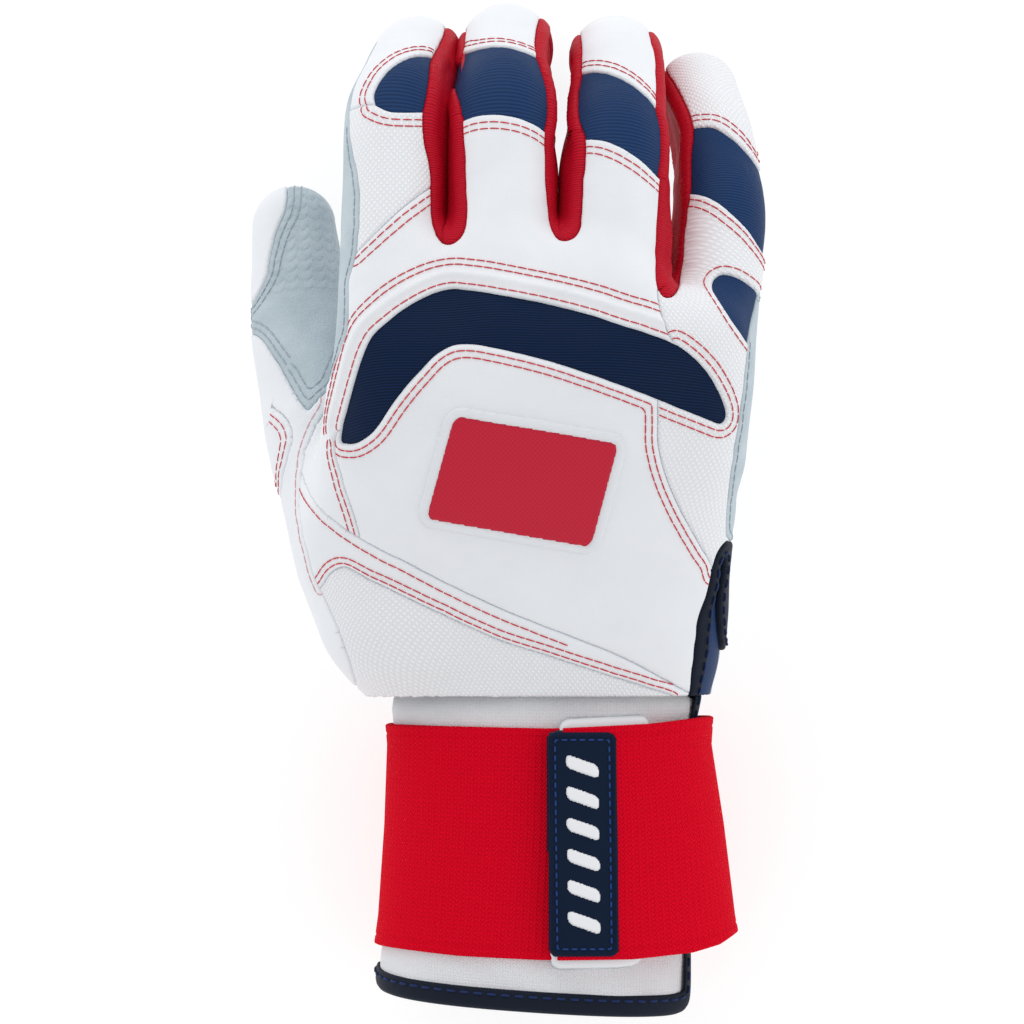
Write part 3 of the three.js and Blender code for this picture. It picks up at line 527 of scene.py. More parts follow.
def edges_of(faces):
    """The three edges of each triangle as pairs of points."""
    return np.vstack([faces[:, [0, 1]], faces[:, [1, 2]], faces[:, [2, 0]]])


def codes_of(edges, count):
    """One number for each edge, the same in both directions."""
    edges = np.sort(edges, 1)
    return edges[:, 0] * count + edges[:, 1]


class Skin:
    """Triangles that each belong to a named panel."""

    def __init__(self, points, faces):
        self.points, self.faces = points, faces
        self.names = ["skin"]
        self.owner = np.zeros(len(faces), int)
        self.hidden = np.full(len(points), FAR)

    def number(self, name):
        """The number of a panel's name."""
        if name not in self.names:
            self.names.append(name)
        return self.names.index(name)

    def cut(self, which, field, below, above, hidden=False):
        """Parts one panel where the field passes zero. Hidden cuts are no seams."""
        below, above = self.number(below), self.number(above)
        mine = self.owner == self.number(which)
        used = np.unique(self.faces[mine])
        value = np.zeros(len(self.points))
        value[used] = field(self.points[used])
        value[np.abs(value) < SNAP] = 0
        if hidden:
            self.hidden[used] = np.minimum(self.hidden[used], np.abs(value[used]))
        tri = self.faces
        sides = np.sign(value)[tri]
        crossed = mine & (sides.min(1) < 0) & (sides.max(1) > 0)
        edges = np.unique(np.sort(edges_of(tri[crossed]), 1), axis=0)
        edges = edges[value[edges[:, 0]] * value[edges[:, 1]] < 0]
        a, b = edges[:, 0], edges[:, 1]
        share = value[a] / (value[a] - value[b])
        count = len(self.points)
        new_points = self.points[a] + (self.points[b] - self.points[a]) * share[:, None]
        self.points = np.vstack([self.points, new_points])
        near = self.hidden[a] + (self.hidden[b] - self.hidden[a]) * share
        self.hidden = np.concatenate([self.hidden, near * (not hidden)])
        codes = codes_of(edges, count)
        touched = np.isin(codes_of(edges_of(tri), count), codes).reshape(3, -1).any(0)
        lookup = {code: count + i for i, code in enumerate(codes.tolist())}
        signs = np.concatenate([np.sign(value), np.zeros(len(edges))])
        self.owner[mine & ~touched] = np.where(sides[mine & ~touched].max(1) > 0, above, below)
        faces, owners = [], []
        for i in np.flatnonzero(touched):
            ring, added = [], []
            for k in (0, 1, 2):
                p, q = int(tri[i, k]), int(tri[i, (k + 1) % 3])
                ring.append(p)
                extra = lookup.get(min(p, q) * count + max(p, q))
                if extra is not None:
                    added.append(len(ring))
                    ring.append(extra)
            if crossed[i]:
                loops = [([v for v in ring if signs[v] <= 0], below),
                         ([v for v in ring if signs[v] >= 0], above)]
            else:
                loops = [(ring[added[0]:] + ring[:added[0]], self.owner[i])]
            for loop, owner in loops:
                for k in range(1, len(loop) - 1):
                    faces.append((loop[0], loop[k], loop[k + 1]))
                    owners.append(owner)
        if faces:
            self.faces = np.vstack([tri[~touched], np.array(faces, int)])
            self.owner = np.concatenate([self.owner[~touched], owners])

    def parts(self, name):
        """Numbers of the triangles in each separate part of a panel, largest first."""
        mine = np.flatnonzero(self.owner == self.number(name))
        tri = self.faces[mine]
        label = np.arange(len(self.points))
        while True:
            low = label[tri].min(1)
            new = label.copy()
            for k in (0, 1, 2):
                np.minimum.at(new, tri[:, k], low)
            new = new[new]
            if (new == label).all():
                break
            label = new
        names, counts = np.unique(label[tri[:, 0]], return_counts=True)
        return [mine[label[tri[:, 0]] == names[i]] for i in np.argsort(-counts)]

    def rename(self, faces, name):
        """Gives some triangles to a panel."""
        self.owner[faces] = self.number(name)

    def settle(self):
        """Gives each loose scrap to the panel it touches most."""
        for name in sorted(set(self.names[i] for i in np.unique(self.owner))):
            for scrap in self.parts(name)[1:]:
                touching = np.isin(self.faces, self.faces[scrap]).sum(1)
                touching[self.owner == self.number(name)] = 0
                votes = np.bincount(self.owner, touching >= 2, minlength=len(self.names))
                if len(scrap) > LARGE_SCRAP:
                    print("scrap of", name, len(scrap), "to", self.names[int(votes.argmax())])
                self.owner[scrap] = votes.argmax()

    def smooth_seams(self, rounds=5):
        """Takes the last corners out of the seam lines, and evens the triangles beside them."""
        tri = self.faces
        edges = np.sort(edges_of(tri), 1)
        owners = np.tile(self.owner, 3)
        order = np.lexsort((edges[:, 1], edges[:, 0]))
        edges, owners = edges[order], owners[order]
        same = (edges[1:] == edges[:-1]).all(1)
        seam = edges[1:][same & (owners[1:] != owners[:-1])]
        doubled = np.concatenate([[False], same]) | np.concatenate([same, [False]])
        rim = np.unique(edges[~doubled])
        count = len(self.points)
        degree = np.bincount(seam.ravel(), minlength=count)
        line = degree == 2
        line[rim] = False
        for _ in range(rounds):
            total = np.zeros((count, 3))
            np.add.at(total, seam[:, 0], self.points[seam[:, 1]])
            np.add.at(total, seam[:, 1], self.points[seam[:, 0]])
            self.points[line] = 0.5 * self.points[line] + 0.25 * total[line]
        beside = np.zeros(count, bool)
        beside[np.unique(tri[(degree[tri] > 0).any(1)])] = True
        beside[degree > 0] = False
        beside[rim] = False
        every = np.unique(edges, axis=0)
        every = every[beside[every].any(1)]
        for _ in range(3):
            total, number = np.zeros((count, 3)), np.zeros(count)
            for p, q in ((0, 1), (1, 0)):
                np.add.at(total, every[:, p], self.points[every[:, q]])
                np.add.at(number, every[:, p], 1)
            middle = total[beside] / number[beside][:, None]
            self.points[beside] = 0.4 * self.points[beside] + 0.6 * middle
        moved = (degree > 0) | beside
        moved[rim] = False
        self.points[moved] = walk_to_skin(self.points[moved], 2)

    def patch(self, name, **notes):
        """The triangles of one panel by themselves, with notes on its points."""
        faces = self.faces[self.owner == self.number(name)]
        return Patch(self.points, faces, notes).kept(faces)


class Patch:
    """Triangles of one panel, with numbers at each point."""

    def __init__(self, points, faces, notes):
        self.points, self.faces, self.notes = points, faces, notes

    def kept(self, faces):
        """Some of the triangles with only the points that they use."""
        used = np.unique(faces)
        new = np.full(len(self.points), -1)
        new[used] = np.arange(len(used))
        return Patch(self.points[used], new[faces], {k: v[used] for k, v in self.notes.items()})

    def with_middles(self, pairs):
        """The patch with one more point in the middle of each pair."""
        a, b = pairs[:, 0], pairs[:, 1]
        grown = {key: np.concatenate([value, value[a] * 0.5 + value[b] * 0.5])
                 for key, value in {"points": self.points, **self.notes}.items()}
        return Patch(grown.pop("points"), self.faces, grown)


def edge_points(patch):
    """Pairs of points along the open edge of a patch."""
    edges = edges_of(patch.faces)
    found = np.unique(np.sort(edges, 1), axis=0, return_index=True, return_counts=True)
    _, first, counts = found
    return edges[first[counts == 1]]


def refined(patch, wanted, longest):
    """Splits the edges that are longer than longest where wanted is true at both ends."""
    tri = patch.faces
    unique, back = np.unique(np.sort(edges_of(tri), 1), axis=0, return_inverse=True)
    back = back.reshape(-1)
    size = np.linalg.norm(patch.points[unique[:, 0]] - patch.points[unique[:, 1]], axis=1)
    cut = (size > longest) & wanted[unique[:, 0]] & wanted[unique[:, 1]]
    number = np.full(len(unique), -1)
    number[cut] = np.arange(cut.sum()) + len(patch.points)
    pairs = unique[cut]
    grown = patch.with_middles(pairs)
    middle = number[back].reshape(3, -1).T
    halves = (middle >= 0).sum(1)
    faces = [tri[halves == 0]]
    for k in range(3):
        t, m = np.roll(tri, -k, 1), np.roll(middle, -k, 1)
        one = (halves == 1) & (m[:, 0] >= 0)
        faces.append(np.stack([t[one, 0], m[one, 0], t[one, 2]], 1))
        faces.append(np.stack([m[one, 0], t[one, 1], t[one, 2]], 1))
        two = (halves == 2) & (m[:, 2] < 0)
        faces.append(np.stack([m[two, 0], t[two, 1], m[two, 1]], 1))
        faces.append(np.stack([t[two, 0], m[two, 0], m[two, 1]], 1))
        faces.append(np.stack([t[two, 0], m[two, 1], t[two, 2]], 1))
    all_three = halves == 3
    t, m = tri[all_three], middle[all_three]
    faces += [np.stack([t[:, 0], m[:, 0], m[:, 2]], 1), np.stack([m[:, 0], t[:, 1], m[:, 1]], 1),
              np.stack([m[:, 2], m[:, 1], t[:, 2]], 1), np.stack([m[:, 0], m[:, 1], m[:, 2]], 1)]
    grown.faces = np.vstack(faces)
    return grown


def distance_to_line(p, line, far=8.0):
    """Distance in space from points to a fine line of points, looked up in a tree."""
    tree = kdtree.KDTree(len(line))
    for i, q in enumerate(line):
        tree.insert(q, i)
    tree.balance()
    low, high = line.min(0) - far, line.max(0) + far
    found = np.full(len(p), far)
    for i in np.flatnonzero(((p > low) & (p < high)).all(1)):
        found[i] = min(far, tree.find(p[i])[2])
    return found


# %% Numbers that say which part of the hand a point is on
def finger_blend(p):
    """Soft shares of the four fingers at each point, and their coordinates."""
    rows = [bones[name].coordinates(p) for name in FINGERS]
    off = np.stack([bones[name].distance(p) for name in FINGERS])
    share = np.exp(-(off - off.min(0)) / 0.8)
    return share / share.sum(0), rows, off.min(0)


THUMB_BORDER = [
    (284, 130, 1), (283, 205), (274, 238), (267, 270), (253, 300, 1), (230, 300, 1),
    (230, 330, 1), (256, 334), (270, 352), (284, 374), (301, 401), (318, 416, 1), (327, 398),
    (334, 380, 1), (352, 330, 1), (352, 130, 1)]
thumb_border = curved(THUMB_BORDER)


def back_field(p):
    """Below zero on the back of the glove, above zero on its palm side."""
    share, rows, finger_off = finger_blend(p)
    up_finger = sum(share[i] * (rows[i][3] + 2.5) for i in range(4))
    up_hand = p[:, 2] - hand_row(p[:, 1])[2] + 6
    _, _, across, up, _ = bones["thumb"].coordinates(p)
    up_thumb = -0.8 * across + 0.6 * up + 5.5
    hand_off = hand_distance(p)
    thumb_off = bones["thumb"].distance(p)
    on_finger = soft_step(hand_off - finger_off, -3, 3)
    on_thumb = soft_step(np.minimum(hand_off, finger_off) - thumb_off, -7, 9)
    upness = up_hand * (1 - on_finger) + up_finger * on_finger
    upness = upness * (1 - on_thumb) + up_thumb * on_thumb
    border = inside_distance(p[:, :2], back_border)
    border = np.maximum(border, -inside_distance(p[:, :2], thumb_border))
    line = border - 5 * on_thumb * soft_step(-up, 0, 6) * soft_step(-across, 0, 5)
    return np.maximum(line, -upness)


RED_SHARE = 0.62
PAST_TIP = 2.0
SLANT = {"index": 0.0, "middle": 0.08, "ring": 0.4, "little": 0.75}
FINGER_CUT = -4.5


def red_field(p):
    """Below zero on the stretch strips between the fingers."""
    share, rows, off = finger_blend(p)
    inner = np.full(len(p), -FAR)
    fields = np.zeros((3, len(p)))
    for i, name in enumerate(FINGERS):
        line = bones[name]
        k, along, across, up, _ = rows[i]
        outer = {"index": -across, "little": across}.get(name, inner)
        fields[0] += share[i] * -(up + RED_SHARE * line.through[k])
        fields[1] += share[i] * (along - line.total - PAST_TIP)
        fields[2] += share[i] * outer
    on_thumb = bones["thumb"].distance(p) < off
    return np.where(on_thumb, 9.0, fields.max(0))


def beyond_joint(p):
    """Above zero past the cut before the middle joint of each finger."""
    share, rows, off = finger_blend(p)
    field = np.zeros(len(p))
    for i, name in enumerate(FINGERS):
        _, along, across, _, _ = rows[i]
        past = along + SLANT[name] * across - bones[name].joints[0] - FINGER_CUT
        field += share[i] * past / np.hypot(1, SLANT[name])
    on_hand = (p[:, 1] < 42) | (bones["thumb"].distance(p) < off)
    return np.where(on_hand, -9.0, field)


def outline_field(places):
    """A number that is below zero inside an outline seen from above."""
    line = curved(places)
    return lambda p: inside_distance(p[:, :2], line)


def thumb_field(place):
    """Above zero beyond a place on the way to the tip of the thumb."""
    return lambda p: p @ THUMB_WAY - place


THUMB_WAY = np.array([-0.62, 0.24, -0.745])
THUMB_FROM, THUMB_TO = 8.0, 18.0
GLOVE_HEM = -41.2
print("the glove ends", GLOVE_HEM, "mm along the hand")

# %% [markdown]
# ## The seam lines of the panels
#
# Each outline below is one panel or one seam of the real glove, traced as it lies. Where a
# panel runs on under its neighbour, its outline simply runs past the seam.

# %% Outlines of the other panels
FINGER_TOPS = {
    "index": [
        (330, 111, 1), (352, 111), (377, 107), (386, 113), (404, 114.5), (423, 114, 1),
        (440, 114, 1), (450, -60, 1), (330, -60, 1)],
    "middle": [
        (446, 124, 1), (465, 123, 1), (474, 119), (489, 117.5), (512, 119), (530, 125),
        (544, 133.5, 1), (556, 140, 1), (556, -60, 1), (452, -60, 1)],
    "ring": [
        (568, 142, 1), (586, 141.5, 1), (600, 142), (619, 149.5), (639, 162), (657.5, 181, 1),
        (668, 190, 1), (660, -60, 1), (568, -60, 1)],
    "little": [
        (678, 195, 1), (692.5, 194), (706, 197), (726, 210), (746, 230), (762, 256),
        (780, 278, 1), (810, 278, 1), (810, -60, 1), (664, -60, 1)],
}
GUSSET_LINE = [
    (180, 720, 1), (180, 150, 1), (300, 150, 1), (335, 380, 1), (323, 413, 1), (314, 430),
    (307, 447), (303, 473), (301, 501), (306, 536), (316, 575), (332, 610), (347, 647),
    (357, 682), (362, 720, 1)]
THUMB_SIDE = [
    (180, 392, 1), (255, 394), (266, 401), (277, 410), (288, 421), (293, 438), (289, 455),
    (284, 474), (282, 497), (285, 527), (292, 560), (303, 600), (318, 645), (330, 700, 1),
    (180, 700, 1)]
SLIT_BINDING = [
    (724, 540, 1), (716, 549), (710.5, 568), (704.5, 595), (698, 612), (695, 632), (693, 652),
    (691, 668), (689, 690), (684, 712), (684, 740, 1), (760, 740, 1), (760, 560, 1), (736, 556),
    (731, 543), (724, 540)]
GUSSET = [
    (721, 554, 1), (717.5, 575), (713.5, 600), (711, 614), (709.5, 630), (708.5, 645), (707, 658),
    (704, 673), (700, 693), (690, 740, 1), (745, 740, 1), (745, 674, 1), (729, 664), (723.5, 656),
    (720.8, 642), (718.5, 627), (717.5, 612), (718, 598), (721, 575), (723, 558), (721, 554)]
INDEX_MESH = [
    (300, 290, 1), (345, 268), (362, 252), (380, 233), (402, 211), (430, 189, 1), (446, 178, 1),
    (446, 60, 1), (300, 60, 1)]
RIGHT_MESH = [
    (655, 270, 1), (656, 300), (662, 325), (672, 345), (690, 357, 1), (700, 395), (656, 400, 1),
    (656, 420), (657, 450), (663, 472), (673, 497), (690, 530), (709, 562, 1), (709, 740, 1),
    (820, 740, 1), (820, 120, 1), (655, 120, 1)]
HEEL_MESH = [
    (180, 620, 1), (322, 588), (334, 570), (345, 566), (366, 577), (391, 589), (424, 605),
    (461, 622), (502, 640), (546, 654), (600, 672), (660, 691, 1), (700, 706, 1), (700, 760, 1),
    (180, 760, 1)]
SWEEP = [
    (180, 474, 1), (303, 474, 1), (309, 489), (320, 505), (332, 517, 1), (356, 534), (382, 549),
    (413, 565), (450, 584), (488, 602), (530, 620), (572, 636), (629, 660), (669, 682),
    (700, 700, 1), (700, 760, 1), (180, 760, 1)]
BACK_PANEL = [
    (339, 430, 1), (337, 452), (341, 467), (348, 492), (357, 519), (362, 540, 1), (380, 620),
    (700, 720, 1), (760, 600, 1), (760, 380, 1), (656, 380, 1), (500, 325, 1), (430, 325, 1),
    (380, 360, 1), (350, 430, 1)]

# %% The back parted from the palm side, and the stretch strips from the leather
skin = Skin(skin_points, skin_faces)
skin.cut("skin", lambda p: p[:, 1] - GLOVE_HEM, "wrist", "skin")
kept = skin.parts("skin")[0]
skin.faces, skin.owner = skin.faces[kept], skin.owner[kept]
skin.cut("skin", back_field, "back", "palm_side")
skin.cut("palm_side", red_field, "red", "leather")
print({name: int((skin.owner == skin.number(name)).sum()) for name in ("back", "red", "leather")})

# %% Fingers parted from the hand before their middle joints
RING_GAP = 24
PATCHES = dict(index=INDEX_PATCH, middle=MIDDLE_PATCH, ring=RING_PATCH, little=LITTLE_PATCH)
for name in FINGERS:
    skin.cut("back", outline_field(FINGER_TOPS[name]), name + "_back", "back")
    skin.cut(name + "_back", outline_field(PATCHES[name]), name + "_knuckle_patch", name + "_back")
skin.cut("red", beyond_joint, "fourchette", "strip", hidden=True)
skin.cut("leather", beyond_joint, "palm", "finger_leather", hidden=True)


def nearest_finger(part):
    """The finger that some triangles lie on, and their middle."""
    middle = skin.points[skin.faces[part]].mean((0, 1))[None]
    return min(FINGERS, key=lambda finger: bones[finger].distance(middle)[0]), middle


for part in skin.parts("strip")[:6]:
    name, middle = nearest_finger(part)
    side = "right" if bones[name].coordinates(middle)[2][0] > 0 else "left"
    skin.rename(part, f"{name}_strip_{side}")
for part in skin.parts("finger_leather")[:4]:
    skin.rename(part, nearest_finger(part)[0] + "_leather")
for part in skin.parts("fourchette")[:3]:
    x = nearest_finger(part)[1][0, 0]
    gap = "index_middle" if x < 0 else "middle_ring" if x < RING_GAP else "ring_little"
    skin.rename(part, "fourchette_" + gap)
print("names so far:", skin.names)

# %% The palm and the thumb
skin.cut("palm", thumb_field(THUMB_FROM), "palm", "thumb_web")
skin.cut("thumb_web", thumb_field(THUMB_TO), "thumb_web", "thumb_leather", hidden=True)
skin.cut("back", outline_field(GUSSET_LINE), "thumb_gusset", "back")
skin.cut("thumb_gusset", thumb_field(THUMB_TO), "thumb_gusset", "thumb_edge", hidden=True)
skin.cut("thumb_gusset", outline_field(THUMB_SIDE), "thumb_side", "thumb_gusset")
print("names so far:", len(skin.names))

# %% The back of the hand
for which, outline, inside, outside in (
        ("back", BAND, "knuckle_band", "back"), ("back", ULNAR_PATCH, "ulnar_patch", "back"),
        ("back", SLIT_BINDING, "slit_binding", "back"),
        ("slit_binding", GUSSET, "slit_gusset", "slit_binding"),
        ("back", INDEX_MESH, "index_mesh", "back"), ("back", RIGHT_MESH, "side_mesh", "back"),
        ("back", HEEL_MESH, "heel_mesh", "back"), ("back", SWEEP, "sweep_panel", "back"),
        ("back", BACK_PANEL, "back_panel", "bridge")):
    skin.cut(which, outline_field(outline), inside, outside)
skin.settle()
skin.smooth_seams()
triangles = {skin.names[i]: int((skin.owner == i).sum()) for i in np.unique(skin.owner)}
print("triangles of each panel:", triangles)

# %% [markdown]
# ## Cloth, leather and thread
#
# Every surface is mixed from colour, roughness and a small height pattern. The patterns are
# written in millimetres: ribs across the stretch cloth, a lens emboss on the meshes, a fine
# grain in the leather. The meshes, ribs and knits also carry painted shade: a darker colour in
# their hollows and troughs. Nothing here is taken from a picture.

# %% Colours and one small function for shader nodes
def linear(hex_colour):
    """An sRGB hex colour as the linear numbers that a shader takes."""
    parts = [int(hex_colour[i:i + 2], 16) / 255 for i in (1, 3, 5)]
    return *(c / 12.92 if c <= 0.04045 else ((c + 0.055) / 1.055) ** 2.4 for c in parts), 1.0


def add(tree, kind, inputs=None, output=0, **settings):
    """Adds a shader node, sets or links its inputs, and gives one of its outputs."""
    node = tree.nodes.new("ShaderNode" + kind)
    for key, value in settings.items():
        setattr(node, key, value)
    for key, value in (inputs or {}).items():
        if isinstance(value, bpy.types.NodeSocket):
            tree.links.new(value, node.inputs[key])
        else:
            node.inputs[key].default_value = value
    return node.outputs[output]


def material(name, colour, roughness, specular=0.5):
    """A material with its node tree and its surface node."""
    made = bpy.data.materials.new(name)
    made.use_nodes = True
    tree = made.node_tree
    surface = tree.nodes["Principled BSDF"]
    surface.inputs["Base Color"].default_value = linear(colour)
    surface.inputs["Roughness"].default_value = roughness
    surface.inputs["Specular IOR Level"].default_value = specular
    return made, tree, surface


def flat(tree):
    """The place on the flat cloth in millimetres, across and along."""
    parts = add(tree, "SeparateXYZ", {0: add(tree, "UVMap", uv_map="flat_mm")}).node
    return parts.outputs[0], parts.outputs[1]


def grain(tree, size_mm, detail=2.0):
    """Soft noise with bumps of a size, the same in all directions."""
    place = add(tree, "TexCoord", output="Object")
    return add(tree, "TexNoise", {"Vector": place, "Scale": 1 / (size_mm * MM), "Detail": detail,
                                  "Roughness": 0.5}, "Fac")


def wave(tree, place, pitch_mm):
    """A wave between 0 and 1 along one direction of the cloth."""
    turned = add(tree, "Math", {0: place, 1: 2 * math.pi / pitch_mm}, operation="MULTIPLY")
    sine = add(tree, "Math", {0: turned}, operation="SINE")
    return add(tree, "Math", {0: sine, 1: 0.5, 2: 0.5}, operation="MULTIPLY_ADD")


def patterned(tree, surface, height, depth_mm, share=None, colours=None):
    """Gives a surface a height pattern of a depth, and two colours mixed by a share."""
    bump = add(tree, "Bump", {"Height": height, "Strength": 1.0, "Distance": depth_mm * MM})
    tree.links.new(bump, surface.inputs["Normal"])
    if colours:
        low, high = (linear(colour) for colour in colours)
        mixed = add(tree, "MixRGB", {"Fac": share, "Color1": low, "Color2": high})
        tree.links.new(mixed, surface.inputs["Base Color"])


print("pure white in linear numbers:", linear("#FFFFFF"))


# %% Smooth white, leather and embossed mesh
PEBBLE, PEBBLE_TOP = 0.75, 0.25
SCALE_WIDTH, SCALE_PITCH, SCALE_BOW = 3.3, 2.5, 1.1
LEATHER_DEPTH, SCALE_DEPTH = 0.16, 0.22


def coated_white():
    """Polyurethane on knit: almost smooth and matt, with a faint cloudiness."""
    made, tree, surface = material("coated back fabric", "#EEF1F6", 0.6, specular=0.3)
    fine, wide = grain(tree, 0.35, 3.0), grain(tree, 9.0)
    patterned(tree, surface, fine, 0.04, wide, ("#E8EBF0", "#F1F4F8"))
    return made


def grained_leather(scales_from=None):
    """Pebbled leather, with rows of embossed scales beyond a place on the way to the tip."""
    made, tree, surface = material("goatskin leather", "#BCCBD3", 0.62, specular=0.3)
    place = add(tree, "TexCoord", output="Object")
    cells = add(tree, "TexVoronoi", {"Vector": place, "Scale": 1 / (PEBBLE * MM)}, "Distance",
                feature="DISTANCE_TO_EDGE")
    wide = grain(tree, 7.0, 4.0)
    pebbles = add(tree, "Math", {0: cells, 1: PEBBLE_TOP}, operation="MINIMUM")
    height = add(tree, "Math", {0: wide, 1: 0.4, 2: pebbles}, operation="MULTIPLY_ADD")
    if scales_from is not None:
        u, v = flat(tree)
        turned = add(tree, "Math", {0: u, 1: math.pi / SCALE_WIDTH}, operation="MULTIPLY")
        sine = add(tree, "Math", {0: turned}, operation="SINE")
        bow = add(tree, "Math", {0: sine}, operation="ABSOLUTE")
        bowed = add(tree, "Math", {0: bow, 1: SCALE_BOW, 2: v}, operation="MULTIPLY_ADD")
        rows = add(tree, "Math", {0: wave(tree, bowed, SCALE_PITCH), 1: 0.5}, operation="POWER")
        share = add(tree, "Math", {0: v, 1: scales_from}, operation="SUBTRACT", use_clamp=True)
        height = add(tree, "Math", {0: rows, 1: share, 2: height}, operation="MULTIPLY_ADD")
    depth = LEATHER_DEPTH if scales_from is None else SCALE_DEPTH
    patterned(tree, surface, height, depth, wide, ("#A8B8C1", "#CEDAE0"))
    return made


def embossed_mesh(name, across_mm, along_mm, hollow, crest, depth_mm, roughness=0.65):
    """Lens-shaped bumps between two families of slanting grooves, with painted shade: the grooves
    take the darker hollow colour.
    """
    made, tree, surface = material(name, crest, roughness, specular=0.3)
    u, v = flat(tree)
    u = add(tree, "Math", {0: u, 1: across_mm}, operation="DIVIDE")
    v = add(tree, "Math", {0: v, 1: along_mm}, operation="DIVIDE")
    ridges = [wave(tree, add(tree, "Math", {0: u, 1: v}, operation=slant), 1.0)
              for slant in ("ADD", "SUBTRACT")]
    both = add(tree, "Math", {0: ridges[0], 1: ridges[1]}, operation="MULTIPLY")
    height = add(tree, "Math", {0: both, 1: 0.6}, operation="POWER")
    # painted shade: the colour follows the bump height, so the grooves get the darker hollow
    # colour and the crests the paler one
    patterned(tree, surface, height, depth_mm, height, (hollow, crest))
    return made


def ribbed(name, low, high, pitch_mm, depth_mm):
    """Stretch cloth: fine ribs with fuzz on their crests, with painted shade in the troughs
    between ribs and a random tone from the fuzz.
    """
    made, tree, surface = material(name, high, 0.55, specular=0.1)
    ribs = wave(tree, flat(tree)[1], pitch_mm)
    fuzz = grain(tree, 0.3)
    paler = add(tree, "Math", {0: fuzz, 1: 0.5}, operation="ADD")
    # partly painted shade, partly real tone: the colour share follows the ribs, so the troughs are
    # darker, times a random tone from the fuzz
    share = add(tree, "Math", {0: ribs, 1: paler}, operation="MULTIPLY")
    height = add(tree, "Math", {0: fuzz, 1: 0.5, 2: ribs}, operation="MULTIPLY_ADD")
    patterned(tree, surface, height, depth_mm, share, (low, high))
    return made


def plain(name, colour, roughness, grain_mm=0.3, depth_mm=0.05, specular=0.15):
    """Thread, rubber or tape: one colour with a fine grain."""
    made, tree, surface = material(name, colour, roughness, specular=specular)
    patterned(tree, surface, grain(tree, grain_mm), depth_mm)
    return made


def knitted(name, low, high, across_mm, along_mm, depth_mm):
    """Columns of small loops, each column shifted by half a loop, with painted shade: the low gaps
    between loops take the darker colour.
    """
    made, tree, surface = material(name, high, 0.85, specular=0.04)
    u, v = flat(tree)
    columns = wave(tree, u, across_mm)
    slant = add(tree, "Math", {0: columns, 1: along_mm * 0.9, 2: v}, operation="MULTIPLY_ADD")
    column_height = add(tree, "Math", {0: columns, 1: 1.0}, operation="ADD")
    loop_height = add(tree, "Math", {0: wave(tree, slant, along_mm), 1: 0.4}, operation="ADD")
    height = add(tree, "Math", {0: column_height, 1: loop_height}, operation="MULTIPLY")
    # painted shade: the colour share follows the loop height, so the gaps between loops are darker
    share = add(tree, "Math", {0: height, 1: 0.6}, operation="MULTIPLY")
    fuzzy = add(tree, "Math", {0: height, 1: grain(tree, 0.25, 3.0)}, operation="ADD")
    patterned(tree, surface, fuzzy, depth_mm, share, (low, high))
    return made


# in the mesh, ribbed and knitted materials the first, darker colour is painted shade for their
# hollows and troughs
MATERIALS = {
    "white": coated_white(),
    "leather": grained_leather(),
    "mesh": embossed_mesh("embossed lens mesh", 1.15, 1.5, "#E8EBF0", "#F9FAFC", 0.13),
    "heel": embossed_mesh("embossed small mesh", 1.3, 1.3, "#E6E9EE", "#F9FAFC", 0.16),
    "thumb_leather": grained_leather(61.0),
    "navy": ribbed("navy stretch cloth", "#162F54", "#223F6C", 0.56, 0.05),
    "band": ribbed("dark navy stretch band", "#07162E", "#0F274C", 0.6, 0.06),
    "red": ribbed("red stretch cloth", "#A00A1E", "#D0102C", 0.55, 0.07),
    "elastic": knitted("red elastic webbing", "#C4021C", "#EE0828", 1.5, 1.0, 0.13),
    "binding": plain("dark navy binding tape", "#111A2A", 0.6, 0.4, 0.10),
    "cuff": knitted("white knitted cuff", "#E4E7EC", "#F4F6FA", 0.75, 0.7, 0.06),
    "red_thread": plain("red sewing thread", "#CC3A44", 0.6),
    "faint_thread": plain("washed red sewing thread", "#E3A9AE", 0.6),
    "grey_thread": plain("pale grey sewing thread", "#A9B6C0", 0.6),
    "navy_thread": plain("navy sewing thread", "#1D2F5C", 0.6),
    "tab_thread": plain("lighter navy sewing thread", "#23407E", 0.6),
    "rubber": plain("navy moulded rubber", "#0C1C34", 0.55, 0.5, 0.03, specular=0.1),
    "grip": plain("white moulded rubber", "#F0F2F6", 0.45, 0.5, 0.03),
    "pad": plain("clear white hook pad", "#EDF0F4", 0.35, 0.8, 0.05, specular=0.4),
    "pile": plain("white loop pile", "#E4E7EC", 0.95, 0.45, 0.4),
    "badge_rim": plain("off-white badge rubber", "#E6E9EE", 0.4, 0.5, 0.03),
    "badge_face": embossed_mesh("red badge rubber", 1.1, 1.1, "#BE1230", "#CC1A38", 0.03, 0.45),
}
print("materials:", len(MATERIALS))

# %% [markdown]
# ## From a patch of skin to a sewn panel
#
# A real panel is folded at its edge and topstitched, so it stands up with a rounded rim. Each
# panel here gets the same: near its seams it rises in a quarter circle, and between them it
# lies a little proud, with faint puckers. An inner face makes it a thin body of its own.

# %% The panel maker
def unit(ways):
    """The same directions with a length of one."""
    return ways / np.maximum(np.linalg.norm(ways, axis=-1), 1e-12)[..., None]


def slope_of(p):
    """The direction out of the skin at some points."""
    return unit(slope_at(p, skin_distance(p), 0.3))


skin_slopes = slope_of(skin.points)


def lumps(p, size, seed=0):
    """Smooth random numbers between -1 and 1 with waves of a size."""
    rng = np.random.default_rng(seed)
    total = np.zeros(len(p))
    for _ in range(9):
        way = rng.normal(size=3)
        way *= 2 * np.pi / (size * np.linalg.norm(way)) * rng.uniform(0.7, 1.4)
        total += np.sin(p @ way + rng.uniform(0, 6.28))
    return total / 4.5


